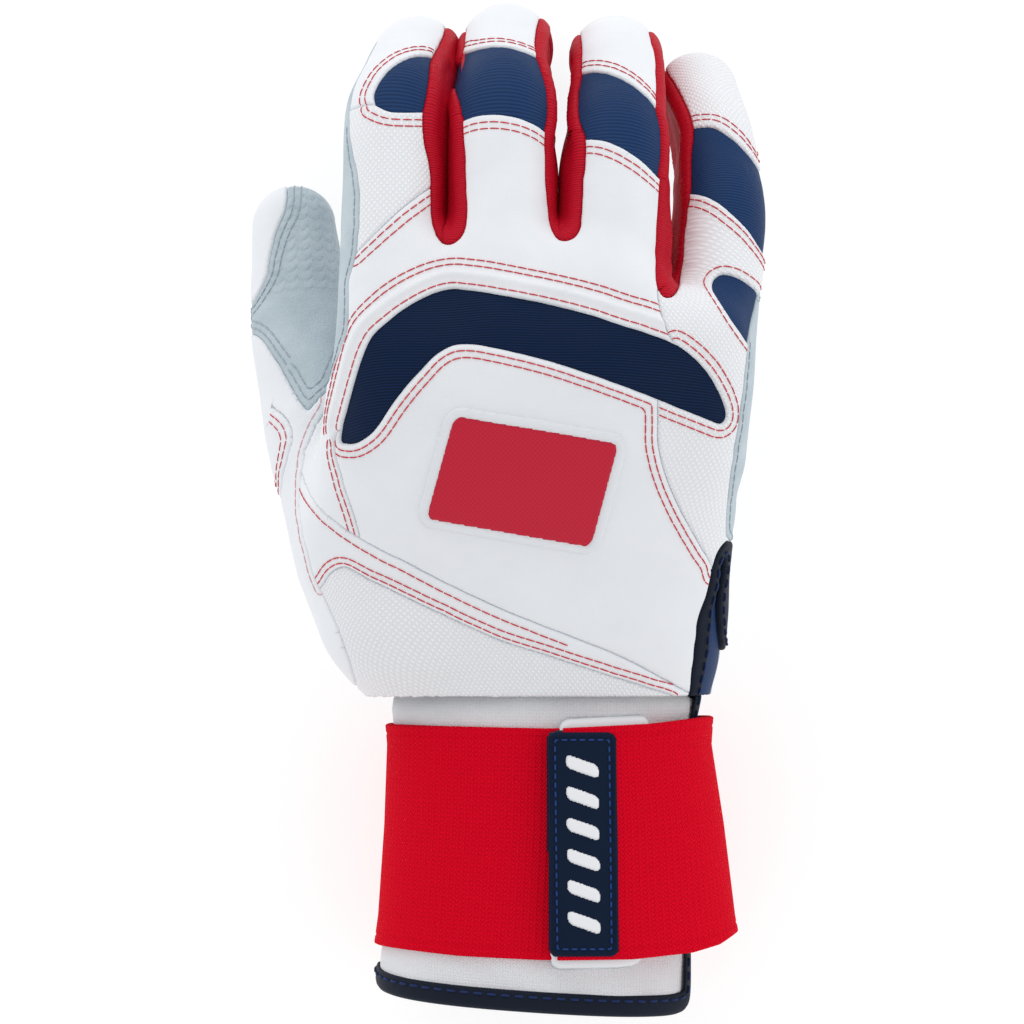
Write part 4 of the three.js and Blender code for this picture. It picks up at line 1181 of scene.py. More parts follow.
def fine_line(a, b, pieces=8):
    """Points close together on the straight lines between pairs of points."""
    return np.vstack([a + (b - a) * k / pieces for k in range(pieces)])


def seam_between(name, others):
    """Fine points along the seams that a panel shares with others."""
    codes = codes_of(edges_of(skin.faces), len(skin.points))
    owners = np.tile(skin.owner, 3)
    wanted = [skin.number(other) for other in others]
    shared = np.intersect1d(codes[owners == skin.number(name)], codes[np.isin(owners, wanted)])
    first, second = np.divmod(shared, len(skin.points))
    return fine_line(skin.points[first], skin.points[second])


# a round of the hand for the flat patterns, and the middle of the side panel's own round
ARC_HALF, ARC_PLACES = np.array([46, 23]), 721
SIDE_MIDDLE, SIDE_HALF = (5.9, 57.0), (45.4, 17.9)
FLAT_HEIGHT, FINGER_RADIUS = 50, 11


def arc_table():
    """Length of arc round the hand by angle, for the flat pattern of the hand's panels."""
    ring = np.stack(rounded_square(np.linspace(-np.pi, np.pi, ARC_PLACES), HAND_ROUNDNESS), 1)
    return np.arctan2(ring[:, 1], ring[:, 0]), lengths_along(ring * ARC_HALF)


ARC = arc_table()


def flat_place(p, kind):
    """Where a point lies on the flat cloth: across and along, in millimetres."""
    if kind == "hand":
        middle, half, height, depth = hand_row(p[:, 1])
        turn = np.arctan2((p[:, 2] - height) / depth, (p[:, 0] - middle) / half)
        return np.stack([np.interp(turn, *ARC), p[:, 1] - 0.35 * (p[:, 2] - FLAT_HEIGHT)], 1)
    if kind == "side":
        turn = np.arctan2((p[:, 2] - SIDE_MIDDLE[1]) / SIDE_HALF[1],
                          (p[:, 0] - SIDE_MIDDLE[0]) / SIDE_HALF[0])
        across = 0.4 * np.interp(turn, *ARC) - 0.6 * p[:, 0]
        return np.stack([across, p[:, 1] - 0.15 * (p[:, 2] - FLAT_HEIGHT)], 1)
    if kind == "fingers":
        share, rows, _ = finger_blend(p)
        best = share.argmax(0)
        v = sum(share[i] * rows[i][1] for i in range(4))
        u = np.choose(best, [np.arctan2(r[2], r[3]) * FINGER_RADIUS for r in rows])
        return np.stack([u, v], 1)
    line = bones[kind]
    k, along, across, up, _ = line.coordinates(p)
    return np.stack([np.arctan2(across, up) * (line.across[k] + line.through[k]) / 2, along], 1)


def finished(name, points, faces, places, skin_material, shading=None):
    """An object in metres with its flat pattern, shaded by the slopes of given triangles."""
    made = mesh_object(name, points * MM, faces)
    made.data.materials.append(MATERIALS[skin_material])
    layer = made.data.uv_layers.new(name="flat_mm")
    index = np.empty(len(made.data.loops), int)
    made.data.loops.foreach_get("vertex_index", index)
    layer.data.foreach_set("uv", places[index].astype(np.float32).ravel())
    made.data.polygons.foreach_set("use_smooth", np.ones(len(made.data.polygons), bool))
    if shading is not None:
        corner = points[shading]
        flat_slopes = np.cross(corner[:, 1] - corner[:, 0], corner[:, 2] - corner[:, 0])
        at = shading.ravel()
        slopes = [np.bincount(at, np.repeat(part, 3), len(points)) for part in flat_slopes.T]
        slopes = unit(np.stack(slopes, 1))
        made.data.normals_split_custom_set_from_vertices([tuple(n) for n in slopes])
    return made


def closed_body(outer, inner, faces, edges):
    """Points and triangles of an outer and an inner face joined along their open edge."""
    count = len(outer)
    a, b = edges[:, 0], edges[:, 1]
    walls = np.vstack([np.stack([b, a, a + count], 1), np.stack([b, a + count, b + count], 1)])
    return np.vstack([outer, inner]), np.vstack([faces, faces[:, ::-1] + count, walls])


def quarter_round(share):
    """The height of a quarter circle at a share of its breadth."""
    return np.sqrt(1 - (1 - np.clip(share, 0, 1)) ** 2)


# the longest edge within a distance of a seam, in two rounds, and what counts as a seam
REFINED = ((0.7, 1.6), (0.45, 0.9))
SEAM = 0.02
PUCKER_SIZE, SWELL_SIZE, SWELL = 5.0, 16.0, 0.12
sewn = {}


def panel(name, kind, skin_material, rise=0.8, roll=0.9, lift=0.15, pucker=0.1, depth=1.0,
          extra=None, fine=None):
    """Sews one panel of the skin and keeps what its stitches need."""
    patch = skin.patch(name, hidden=skin.hidden, slope=skin_slopes)
    inner = np.setdiff1d(np.arange(len(patch.points)), edge_points(patch))
    for _ in range(6):
        moved = (evened(patch.points, patch.faces, 1) - patch.points)[inner]
        slope = patch.notes["slope"][inner]
        patch.points[inner] += moved - slope * (moved * slope).sum(1)[:, None]
        patch.notes["slope"][inner] = evened(patch.notes["slope"], patch.faces, 1)[inner]
    for longest, reach in REFINED:
        edges = edge_points(patch)
        open_edges = edges[(patch.notes["hidden"][edges] > SEAM).any(1)]
        line = fine_line(patch.points[open_edges[:, 0]], patch.points[open_edges[:, 1]])
        wanted = distance_to_line(patch.points, line) < reach
        if fine is not None and longest == REFINED[0][0]:
            wanted |= fine(patch.points)
        patch = refined(patch, wanted, longest)
    gap = distance_to_line(patch.points, line)
    edges = edge_points(patch)
    slope = unit(patch.notes["slope"])
    swell = lift + rise * quarter_round(gap / roll)
    puckers = pucker * lumps(patch.points, PUCKER_SIZE, 3)
    swell += puckers * np.exp(-gap / 3) * np.clip(gap / roll, 0, 1)
    swell += SWELL * lumps(patch.points, SWELL_SIZE, 5) * np.clip(gap / 2, 0, 1)
    if extra is not None:
        swell += extra(patch.points, gap)
    outer = patch.points + slope * swell[:, None]
    points, body_faces = closed_body(outer, patch.points - slope * depth, patch.faces, edges)
    places = flat_place(patch.points, kind)
    sewn[name] = dict(base=patch.points, outer=outer, slope=slope, faces=patch.faces)
    at_seam = (patch.notes["hidden"][edges] > SEAM).any(1)
    shown = np.concatenate([np.ones(2 * len(patch.faces), bool), at_seam, at_seam])
    return finished(name, points, body_faces, np.vstack([places, places]), skin_material,
                    body_faces[shown])


print("slopes out of the skin:", len(skin_slopes))


# %% [markdown]
# ## Stitches
#
# Topstitching runs at an even distance from its seam. Each row is found on the finished panel
# as the line at that distance, and small bent threads that dive into the cloth at both ends
# are laid along it.

# %% The stitch maker
def level_lines(value, faces, level):
    """Chains of places where a number on a mesh passes a level: pairs of points and a share."""
    over = value[faces] > level
    crossed = faces[(over.sum(1) > 0) & (over.sum(1) < 3)]
    nexts = {}
    for face in crossed.tolist():
        keys = []
        for k in (0, 1, 2):
            a, b = face[k], face[(k + 1) % 3]
            if (value[a] > level) != (value[b] > level):
                keys.append((min(a, b), max(a, b)))
        if len(keys) == 2:
            nexts.setdefault(keys[0], []).append(keys[1])
            nexts.setdefault(keys[1], []).append(keys[0])
    seen_keys, chains = set(), []
    starts = [key for key, linked in nexts.items() if len(linked) == 1] + list(nexts)
    for start in starts:
        if start in seen_keys:
            continue
        chain, key = [start], start
        seen_keys.add(start)
        while True:
            onward = [k for k in nexts[key] if k not in seen_keys]
            if not onward:
                break
            key = onward[0]
            seen_keys.add(key)
            chain.append(key)
        if len(chain) > 4:
            chains.append(np.array(chain))
    return chains


# rings of one thread: share of its length, height and size in radii, and its flattening
RING_SHARES = np.array([0.0, 0.06, 0.3, 0.7, 0.94, 1.0])
RING_HEIGHTS = np.array([-1.1, 0.1, 0.6, 0.6, 0.1, -1.1])
RING_SIZES = np.array([0.5, 0.9, 1.0, 1.0, 0.9, 0.5])
THREAD_WIDE, THREAD_FLAT, THREAD_PROUD, THREAD_START = 1.15, 0.85, 0.5, 0.4


def laid_threads(places, slopes, pitch, length, radius):
    """Threads along one line: points and faces of the small bent rods."""
    long = lengths_along(places)
    count = int((long[-1] - THREAD_START) / pitch)
    if count < 1:
        return np.zeros((0, 3)), np.zeros((0, 3), int)
    pitch = (long[-1] - THREAD_START) / count
    heights = RING_HEIGHTS * radius + THREAD_PROUD * radius
    sizes = (RING_SIZES * radius)[:, None, None]
    at = THREAD_START + np.arange(count)[:, None] * pitch + RING_SHARES * length
    centre, up = at_lengths(at, long, places), unit(at_lengths(at, long, slopes))
    way = np.repeat(unit(centre[:, -1] - centre[:, 0])[:, None], 6, 1)
    side = unit(np.cross(way, up))
    turn = np.linspace(0, 2 * np.pi, 6, endpoint=False)[:, None]
    centre = centre + up * heights[:, None]
    ring = (centre[:, :, None] + side[:, :, None] * (np.cos(turn) * sizes * THREAD_WIDE)
            + up[:, :, None] * (np.sin(turn) * sizes * THREAD_FLAT))
    faces = []
    for k in range(5):
        for i in range(6):
            a, b = k * 6 + i, k * 6 + (i + 1) % 6
            faces += [(a, b, b + 6), (a, b + 6, a + 6)]
    faces += [(0, i + 1, i) for i in range(1, 5)] + [(30, 30 + i, 31 + i) for i in range(1, 5)]
    faces = np.array(faces)
    all_faces = (faces[None] + (np.arange(count) * 36)[:, None, None]).reshape(-1, 3)
    return ring.reshape(-1, 3), all_faces


def smoothed(line, rounds=6):
    """A line with its corners evened out."""
    for _ in range(rounds):
        line[1:-1] = 0.5 * line[1:-1] + 0.25 * (line[:-2] + line[2:])
    return line


SHORTEST_ROW, STEEPEST_SEEN = 8.0, -0.3


def stitches(name, rows, pitch=2.3, length=2.22, radius=0.13, where=None, seen_only=False):
    """Threads on a panel: rows of (neighbours, distance from their seam)."""
    cloth = sewn[name]
    points, faces, count = [], [], 0
    for neighbours, level in rows:
        gap = distance_to_line(cloth["base"], seam_between(name, neighbours), LEVEL_REACH)
        for chain in level_lines(gap, cloth["faces"], level):
            a, b = chain[:, 0], chain[:, 1]
            share = ((level - gap[a]) / (gap[b] - gap[a]))[:, None]
            line = smoothed(cloth["outer"][a] * (1 - share) + cloth["outer"][b] * share)
            if lengths_along(line)[-1] < SHORTEST_ROW:
                continue
            slopes = smoothed(cloth["slope"][a] * (1 - share) + cloth["slope"][b] * share)
            runs = [np.arange(len(line))]
            if where is not None or seen_only:
                keep = where(line) if where is not None else slopes[:, 2] > STEEPEST_SEEN
                cuts = np.flatnonzero(np.diff(keep.astype(int))) + 1
                runs = [run for run in np.split(runs[0], cuts) if keep[run[0]] and len(run) > 4]
            for run in runs:
                p, f = laid_threads(line[run], slopes[run], pitch, length, radius)
                points.append(p)
                faces.append(f + count)
                count += len(p)
    return np.vstack(points), np.vstack(faces)


def thread_object(name, made, colour):
    """An object from the points and faces of threads."""
    points, faces = made
    return finished(name, points, faces, points[:, :2], colour)


# %% [markdown]
# ## Sewing the panels
#
# White and mesh panels stand proud with a folded edge. The navy stretch cloth lies lower,
# and the red strips between the fingers lie lowest and are gathered along their seams.

# %% The panels of the back
def finger_way(name, before=4.0, after=8.0):
    """Two places, before and after the middle joint, between which a finger bends."""
    line = bones[name]
    k = int(np.argmin(np.abs(line.along - line.joints[0])))
    way = line.ahead[k] + SLANT[name] * line.side[k]
    way /= np.linalg.norm(way)
    return line.points[k] - before * way, line.points[k] + after * way


def bend(piece, first, second, start, end):
    """Bakes a piece's place into its mesh; it does not bend the piece or join it to a body. The
    two bodies and the two places are not used.
    """
    tuple(np.array(start) * MM)
    tuple(np.array(end) * MM)
    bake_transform(piece)


def follow(piece, way):
    """Attaches a piece to one body; for the ways between two bodies it only bakes the piece in
    place.
    """
    if way == "knuckles":
        bend(piece, "hand", "knuckles", (8, 30, 59), (8, 50, 59))
    elif way == "thumb root":
        bend(piece, "hand", "thumb_base", THUMB_WAY * THUMB_FROM, THUMB_WAY * THUMB_TO)
    elif way == "thumb":
        bend(piece, "thumb_base", "thumb_tip", bones["thumb"].at(47.5), bones["thumb"].at(61.5))
    elif way in FINGERS:
        bend(piece, "knuckles", way + "_tip", *finger_way(way))
    else:
        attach(piece, way)


def wear(piece, way, slot, *nodes):
    """Puts a piece on the glove: how it moves, and hides the CAD nodes it stands for. The slot is
    not used.
    """
    follow(piece, way)
    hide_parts(*nodes)


def sew_panels(rows):
    """Makes and wears panels from rows of name, flat pattern, look, way, slot and CAD nodes."""
    for name, pattern, look, way, slot, *nodes in rows:
        wear(panel(name, pattern, **look), way, slot, *nodes)


PLEAT, PLEAT_PITCH = 0.10, 1.55
VALLEY_FROM, VALLEY_TO = 2.6, 5.2


def gathered(p, gap):
    """Small pleats across a stretch strip, strongest along its seams."""
    share, rows, _ = finger_blend(p)
    along = sum(share[i] * rows[i][1] for i in range(4))
    pleats = PLEAT * np.sin(2 * np.pi * along / PLEAT_PITCH)
    return pleats * np.exp(-gap / 1.6) * np.clip(gap / 0.5, 0, 1)


def valley(p, gap):
    """Pleats, and the hollow between the two folded sides of a strip, less deep near the hand."""
    x, y = p[:, 0], p[:, 1]
    middle_gap = 0.3 + 1.5 * soft_step(y, 75, 88)
    little_gap = 1.9 * soft_step(y, 72, 82) - 1.1 * (1 - soft_step(y, 60, 72))
    deep = np.where(x < 0, 0.5, np.where(x < RING_GAP, middle_gap, little_gap))
    return gathered(p, gap) - deep * soft_step(gap, VALLEY_FROM, VALLEY_TO)


FOLD_HEIGHT, FOLD_PLACE, FOLD_WIDTH = 0.75, 3.4, 0.95
LEVEL_REACH = 9.0


def from_band(p):
    """Distance from the seam between the knuckle band and the white panel above it."""
    return distance_to_line(p, seam_between("knuckle_band", ["bridge"]), LEVEL_REACH)


def fold(p, _):
    """The folded ridge that runs round the upper side of the knuckle band."""
    return FOLD_HEIGHT * np.exp(-((from_band(p) - FOLD_PLACE) / FOLD_WIDTH) ** 2)


WHITE = dict(skin_material="white", rise=0.75, roll=0.9)
MESH = dict(skin_material="mesh", rise=0.7, roll=0.9)
NAVY = dict(skin_material="navy", rise=0.12, roll=0.5, lift=0.05, pucker=0.05)
RED = dict(skin_material="red", rise=1.3, roll=2.4, lift=0.0, pucker=0.08, extra=valley, depth=1.2)
LEATHER = dict(skin_material="leather", rise=0.45, roll=0.7)
BRIDGE = dict(WHITE, extra=fold, fine=lambda p: from_band(p) < 5.5)
HEEL = dict(skin_material="heel", rise=0.6, roll=0.9)
BAND_LOOK = dict(skin_material="band", rise=0.1, roll=0.5, lift=-0.05)
TAPE_LOOK = dict(skin_material="binding", rise=0.9, roll=1.3)
sew_panels([
    ("back_panel", "hand", WHITE, "knuckles", "back_fabric", "back_panel"),
    ("bridge", "hand", BRIDGE, "knuckles", "back_fabric", "bridge_panel", "thumb_side_panel"),
    ("sweep_panel", "hand", WHITE, "hand", "back_fabric", "sweep_panel"),
    ("heel_mesh", "hand", HEEL, "hand", "mesh", "heel_mesh_panel"),
    ("side_mesh", "side", MESH, "knuckles", "mesh", "ulnar_mesh_panel", "little_mesh_panel"),
    ("index_mesh", "fingers", MESH, "knuckles", "mesh", "index_mesh_panel"),
    ("knuckle_band", "hand", BAND_LOOK, "knuckles", "navy_fabric", "knuckle_flex_band"),
    ("ulnar_patch", "fingers", NAVY, "knuckles", "navy_fabric", "ulnar_flex_patch"),
    ("slit_gusset", "hand", dict(NAVY, lift=-0.5), "hand", "navy_fabric", "slit_gusset"),
    ("slit_binding", "hand", TAPE_LOOK, "hand", "binding", "slit_binding"),
])
print("panels of the back:", len(sewn))

# %% The panels of the fingers
for name in FINGERS:
    cloth, slot = ("mesh", "mesh") if name == "little" else ("white", "back_fabric")
    sew_panels([
        (name + "_back", name, dict(skin_material=cloth, rise=0.6), name, slot,
         name + "_tip_back"),
        (name + "_knuckle_patch", name, NAVY, name, "navy_fabric", name + "_flex_patch"),
        (name + "_leather", name, LEATHER, name, "leather", name + "_tip_leather",
         name + "_crease"),
    ] + [(f"{name}_{strip}", name, RED, name, "red_fabric", f"{name}_tip_{strip}")
         for strip in ("strip_left", "strip_right") if f"{name}_{strip}" in triangles])
sew_panels(("fourchette_" + gap, "fingers", RED, "knuckles", "red_fabric", "fourchette_" + gap)
           for gap in ("index_middle", "middle_ring", "ring_little"))
print("panels so far:", len(sewn))

# %% The palm and the thumb
SCALED = dict(LEATHER, skin_material="thumb_leather")
sew_panels([
    ("palm", "hand", LEATHER, "knuckles", "leather", "palm_leather", "palm_crease",
     "finger_palm_leather"),
    ("thumb_web", "thumb", LEATHER, "thumb root", "leather", "thumb_root_crease"),
    ("thumb_gusset", "thumb", WHITE, "thumb root", "back_fabric", "thumb_back"),
    ("thumb_side", "thumb", WHITE, "thumb root", "back_fabric"),
    ("thumb_leather", "thumb", SCALED, "thumb", "leather", "thumb_leather", "thumb_joint_crease",
     "thumb_tip_leather"),
    ("thumb_edge", "thumb", WHITE, "thumb", "back_fabric", "thumb_tip_back"),
])
print("panels in all:", len(sewn))

# %% Red topstitching along the folded edges
FINGER_PATCHES = [name + "_knuckle_patch" for name in FINGERS]
DOUBLE = (1.9, 3.4)
TAPE_THREAD = dict(pitch=3.1, length=2.1, radius=0.26)


def rows_of(neighbours, *levels):
    """Rows of stitches at some distances from the seams with some neighbours."""
    return [(neighbours, level) for level in levels]


def sew(name, rows, way, colour="red_thread", panel_name=None, **sizes):
    """Stitches on a panel, moving as the panel does."""
    made = stitches(panel_name or name, rows, **sizes)
    follow(thread_object("stitches_" + name, made, colour), way)


sew("back_panel", rows_of(["knuckle_band", "side_mesh"], 1.4, 2.9), "knuckles")
sew("bridge", rows_of(FINGER_PATCHES, *DOUBLE) + rows_of(["index_mesh"], 1.3, 3.0), "knuckles")
sew("bridge_band", rows_of(["knuckle_band"], 1.2, 5.5, 6.9), "knuckles", panel_name="bridge",
    where=lambda line: (line[:, 1] > 17) | (line[:, 0] > -20))
sew("bridge_edge", rows_of(["back_panel"], 0.9, 2.3), "knuckles", panel_name="bridge",
    where=lambda line: (line[:, 0] < -30) & (line[:, 1] < 17))
sew("sweep_edge", rows_of(["back_panel", "bridge"], 2.1), "hand", panel_name="sweep_panel",
    where=lambda line: line[:, 0] < 13)
little_side = rows_of(["knuckle_band", "little_knuckle_patch"], 1.4, 3.0)
sew("side_mesh", little_side + rows_of(["ulnar_patch"], 1.8), "knuckles")
sew("index_mesh", rows_of(["index_knuckle_patch"], *DOUBLE), "knuckles")
sew("sweep_panel", rows_of(["heel_mesh"], 1.0, 2.4), "hand")
sew("thumb_gusset", rows_of(["bridge", "sweep_panel"], 1.6), "thumb root", "faint_thread",
    radius=0.11)
sew("thumb_side", rows_of(["thumb_gusset"], 1.5, 3.1), "thumb root", radius=0.12,
    where=lambda line: line[:, 1] > -2)
sew("slit_binding", rows_of(["slit_gusset"], 1.35), "hand", "navy_thread", **TAPE_THREAD)
sew("thumb_leather", rows_of(["thumb_edge", "thumb_gusset"], 1.5, 3.0), "thumb", "grey_thread",
    seen_only=True)
sew("thumb_web", rows_of(["thumb_gusset", "bridge"], 1.5, 3.0), "thumb root", "grey_thread")
sew("palm", rows_of(["bridge", "index_mesh", "side_mesh", "heel_mesh"], 1.5), "knuckles",
    "grey_thread")
for name in FINGERS:
    sew(name + "_back", rows_of([name + "_knuckle_patch"], *DOUBLE), name)

# %% [markdown]
# ## The knitted cuff and its binding
#
# Below the glove's hem a soft knitted cuff holds the wrist. It is open on the little finger's
# side. A folded tape closes its edge: along the hem, round the corner and up both sides of
# the slit. On the real glove the cuff is knit cloth cut flat. Here it is a ring of places
# round the wrist, and each piece on it has a height above the cloth.

# %% Places round the wrist
# place, middle and half breadth of the wrist as shares of the length and width
CUFF_ROWS = np.array([[-0.510, 0.0450, 0.3070], [-0.440, 0.0474, 0.3040],
                      [-0.400, 0.0510, 0.2966], [-0.310, 0.0595, 0.2930],
                      [-0.230, 0.0620, 0.2900], [-0.1835, 0.0680, 0.3040],
                      [-0.120, 0.0525, 0.3110]]) * [GLOVE_LENGTH, GLOVE_WIDTH, GLOVE_WIDTH]
CUFF_HEIGHT, CUFF_HALF_DEPTH, CUFF_ROUNDNESS = 25.4, 23.4, 2.3
LOWEST = 2.0
STRAP_MIDDLE, HEM_MIDDLE = -75.0, -108.0


def wrist_row(y):
    """Middle and half breadth of the wrist at places along it."""
    return [np.interp(y, CUFF_ROWS[:, 0], CUFF_ROWS[:, column]) for column in (1, 2)]


def wrist(turn, y, height):
    """Places on the wrist by angle in degrees, place along it and height above the cuff."""
    turn, y, height = np.broadcast_arrays(np.radians(np.asarray(turn, float)), y, height)
    middle, half = wrist_row(y)
    across, up = rounded_square(turn, CUFF_ROUNDNESS)
    x = middle + (half + height) * across
    z = np.maximum(CUFF_HEIGHT + (CUFF_HALF_DEPTH + height) * up, LOWEST - height)
    return np.stack([x, y, z], -1)


def even_turns(first, last, count, y=STRAP_MIDDLE, height=0.0):
    """Angles that step evenly along the wrist, and the length that they cover."""
    fine = np.linspace(first, last, 1500)
    long = lengths_along(wrist(fine, y, height))
    return np.interp(np.linspace(0, long[-1], count), long, fine), long[-1]


def out_of(grid):
    """Outward slopes of a grid of places, rows round the wrist and columns along it."""
    round_way, along_way = np.gradient(grid, axis=0), np.gradient(grid, axis=1)
    return unit(np.cross(along_way, round_way))


def rounded_profile(count, edge_share):
    """Half thickness across a band, one in the middle and round at its two edges."""
    t = np.linspace(0, 1, count)
    return quarter_round(np.minimum(t, 1 - t) / edge_share)


def grid_corners(grid):
    """The four corners of each square of a grid of numbers, in order round it."""
    rows, columns = (slice(None, -1), slice(1, None)), (slice(None, -1), slice(1, None))
    order = ((0, 0), (1, 0), (1, 1), (0, 1))
    return [grid[rows[i], columns[k]].ravel() for i, k in order]


def slab(name, middle, half, skin_material, places):
    """A thin closed body from a grid of middle places and their half thicknesses."""
    n, m = middle.shape[:2]
    thick = out_of(middle) * half[..., None]
    points = np.vstack([(middle + thick).reshape(-1, 3), (middle - thick).reshape(-1, 3)])
    grid = np.arange(n * m).reshape(n, m)
    a, b, c, d = grid_corners(grid)
    faces = [np.stack([a, d, c, b], 1), np.stack([a, b, c, d], 1) + n * m]
    for rim, way in ((grid[:, 0], 1), (grid[:, -1], -1), (grid[0], -1), (grid[-1], 1)):
        p, q = rim[:-1], rim[1:]
        faces.append(np.stack([p, q, q + n * m, p + n * m], 1)[:, ::way])
    places = np.vstack([places.reshape(-1, 2)] * 2)
    return finished(name, points, np.vstack(faces), places, skin_material)


def flat_grid(round_places, along_places):
    """The places of a grid on the flat cloth."""
    u, v = np.meshgrid(round_places, along_places, indexing="ij")
    return np.stack([u, v], -1)


print("rows along the wrist:", len(CUFF_ROWS))

# %% The cuff, open on one side
SLIT_FROM, SLIT_TO, SLIT_TUCK = 12.0, 332.0, 2.5
GLOVE_LAP = -36.0
CUFF_COLUMNS, CUFF_PLACES, CUFF_HALF = 150, 34, 0.6


def hem_place(turn):
    """Where the cuff ends along the wrist, by angle."""
    s = np.maximum(np.sin(np.radians(turn)), 0)
    x = wrist(turn, HEM_MIDDLE, 0.0)[..., 0]
    return -106.0 - 3.6 * np.sqrt(s) - 0.066 * (x + 31)


turns, round_length = even_turns(SLIT_FROM + SLIT_TUCK, SLIT_TO - SLIT_TUCK, CUFF_COLUMNS)
shares = np.linspace(0, 1, CUFF_PLACES)
from_start = np.linspace(0, round_length, CUFF_COLUMNS)
from_slit = np.minimum(from_start, np.linspace(round_length, 0, CUFF_COLUMNS))
# the corners at the slit are cut round and end short of the tape's outer edge
short_by = 1.2 + 7.0 * (1 - quarter_round(from_slit / 8.0))
along = GLOVE_LAP + shares[None] * ((hem_place(turns) + short_by)[:, None] - GLOVE_LAP)
tuck = -1.6 * soft_step(along, -43.5, -40.5)
ripple = 0.25 * lumps(wrist(turns[:, None], along, 0).reshape(-1, 3), 14, 8).reshape(along.shape)
cuff_grid = wrist(turns[:, None], along, tuck + ripple - CUFF_HALF)
# under the palm's hem the cuff rises, so that it ends inside the glove
cuff_floor = LOWEST + 1.0 + 3.6 * soft_step(along, -47.0, -41.5)
cuff_grid[..., 2] = np.maximum(cuff_grid[..., 2], cuff_floor)
cuff = slab("cuff", cuff_grid, np.full(along.shape, CUFF_HALF), "cuff",
            flat_grid(from_start, shares * 72))
wear(cuff, "hand", "knit", "cuff")
print("cuff:", round(float(round_length), 1), "mm round the wrist")

# %% The tape along the hem and up both sides of the slit
# how far inward and outward the folded tape goes, round its section
TAPE = np.array([(4.4, 0.0), (4.25, 0.45), (3.8, 0.62), (2.6, 0.78), (1.3, 0.84), (0.4, 0.66),
                 (-0.2, 0.2), (-0.45, -0.5), (-0.3, -1.2), (0.2, -1.75), (1.0, -1.95),
                 (3.6, -1.95), (4.1, -1.6), (3.4, -1.15), (1.2, -0.6), (3.2, -0.15)])
TAPE_CORNER, TAPE_TOP = 8.0, -41.0
HEM_PLACES, SIDE_PLACES, TAPE_PLACES = 600, 60, 520


def tape_line():
    """The edge of the cuff as angles and places along the wrist, with rounded corners."""
    fine, long = even_turns(SLIT_FROM, SLIT_TO, HEM_PLACES, HEM_MIDDLE)
    hem = np.stack([np.linspace(0, long, HEM_PLACES), hem_place(fine)], 1)
    down = np.linspace(TAPE_TOP, hem[0, 1], SIDE_PLACES, endpoint=False)
    back_up = np.linspace(hem[-1, 1], TAPE_TOP, SIDE_PLACES + 1)[1:]
    line = np.vstack([np.stack([0 * down, down], 1), hem,
                      np.stack([0 * back_up + long, back_up], 1)])
    even = lengths_along(line)
    at = np.linspace(0, even[-1], TAPE_PLACES)
    rounds = int((TAPE_CORNER / at[1]) ** 2 * 0.55)
    line = smoothed(at_lengths(at, even, line), rounds)
    return np.interp(line[:, 0], hem[:, 0], fine), line[:, 1], at


tape_turns, tape_along, tape_long = tape_line()
tape_place = wrist(tape_turns, tape_along, 0.0)
ahead = unit(np.gradient(tape_place, axis=0))
tape_out = wrist(tape_turns, tape_along, 1.0) - tape_place
tape_out = unit(tape_out - ahead * (tape_out * ahead).sum(1)[:, None])
tape_in = np.cross(ahead, tape_out)
rings = tape_place[:, None] + tape_in[:, None] * TAPE[:, :1] + tape_out[:, None] * TAPE[:, 1:]
on_tape = np.tile(np.arange(len(TAPE)) * 0.6, TAPE_PLACES)
tape = finished("cuff_binding", rings.reshape(-1, 3), loft_faces(TAPE_PLACES, len(TAPE)),
                np.stack([np.repeat(tape_long, len(TAPE)), on_tape], 1), "binding")
wear(tape, "hand", "binding", "cuff_binding")
tape_seam = laid_threads(tape_place + tape_in * 3.1 + tape_out * 0.72, tape_out, **TAPE_THREAD)
follow(thread_object("stitches_cuff_binding", tape_seam, "navy_thread"), "hand")
print("tape", round(float(tape_long[-1]), 1), "mm long")

# %% The cloth behind the slit
LAP_COLUMNS, LAP_UNDER, LAP_FROM, LAP_TO = 40, -2.6, -40.0, -101.0
turns, round_length = even_turns(-42, 42, LAP_COLUMNS)
shares = np.linspace(0, 1, 20)
along = LAP_FROM + shares[None] * (LAP_TO - LAP_FROM) + 0 * turns[:, None]
lap = slab("slit_underlap", wrist(turns[:, None], along, LAP_UNDER), np.full(along.shape, 0.5),
           "navy", flat_grid(np.linspace(0, round_length, LAP_COLUMNS), shares * 61))
follow(lap, "hand")
print("cloth behind the slit:", round(float(round_length), 1), "mm wide")

# %% [markdown]
# ## The strap
#
# A broad red elastic band is sewn round the wrist. Its free end comes up the little finger's
# side, crosses the back and is held by hook and loop under a moulded tab. It could be one
# twisted strip, but it must open and peel, so the part round the wrist and the part over the
# back are made as two bands that meet at the side.

# %% Bands round the wrist
def strap_edges(x):
    """Where the strap starts and ends along the wrist, by place across it."""
    top = np.interp(x, [-32, -27, 8, 30, 42, 52],
                    [-47.9, -47.7, -48.4, -47.4, -46.1, -45.6])
    foot = np.interp(x, [-32, -30, -10, 8, 25, 36, 41, 44, 46],
                     [-97.2, -97.5, -99.6, -100.5, -100.3, -99.0, -97.4, -95.2, -92.8])
    return top, foot


STRAP_ROWS, STRAP_PLACE = 90, -73.0
SELVEDGE, SELVEDGE_WIDTH, STRAP_WIDTH = 2.2, 0.006, 51
FLARE_TOP, FLARE_MORE = -1.2, 7.4
TURN_FROM, TURN_TO, TURN_RISE = 300, 345, 3.0


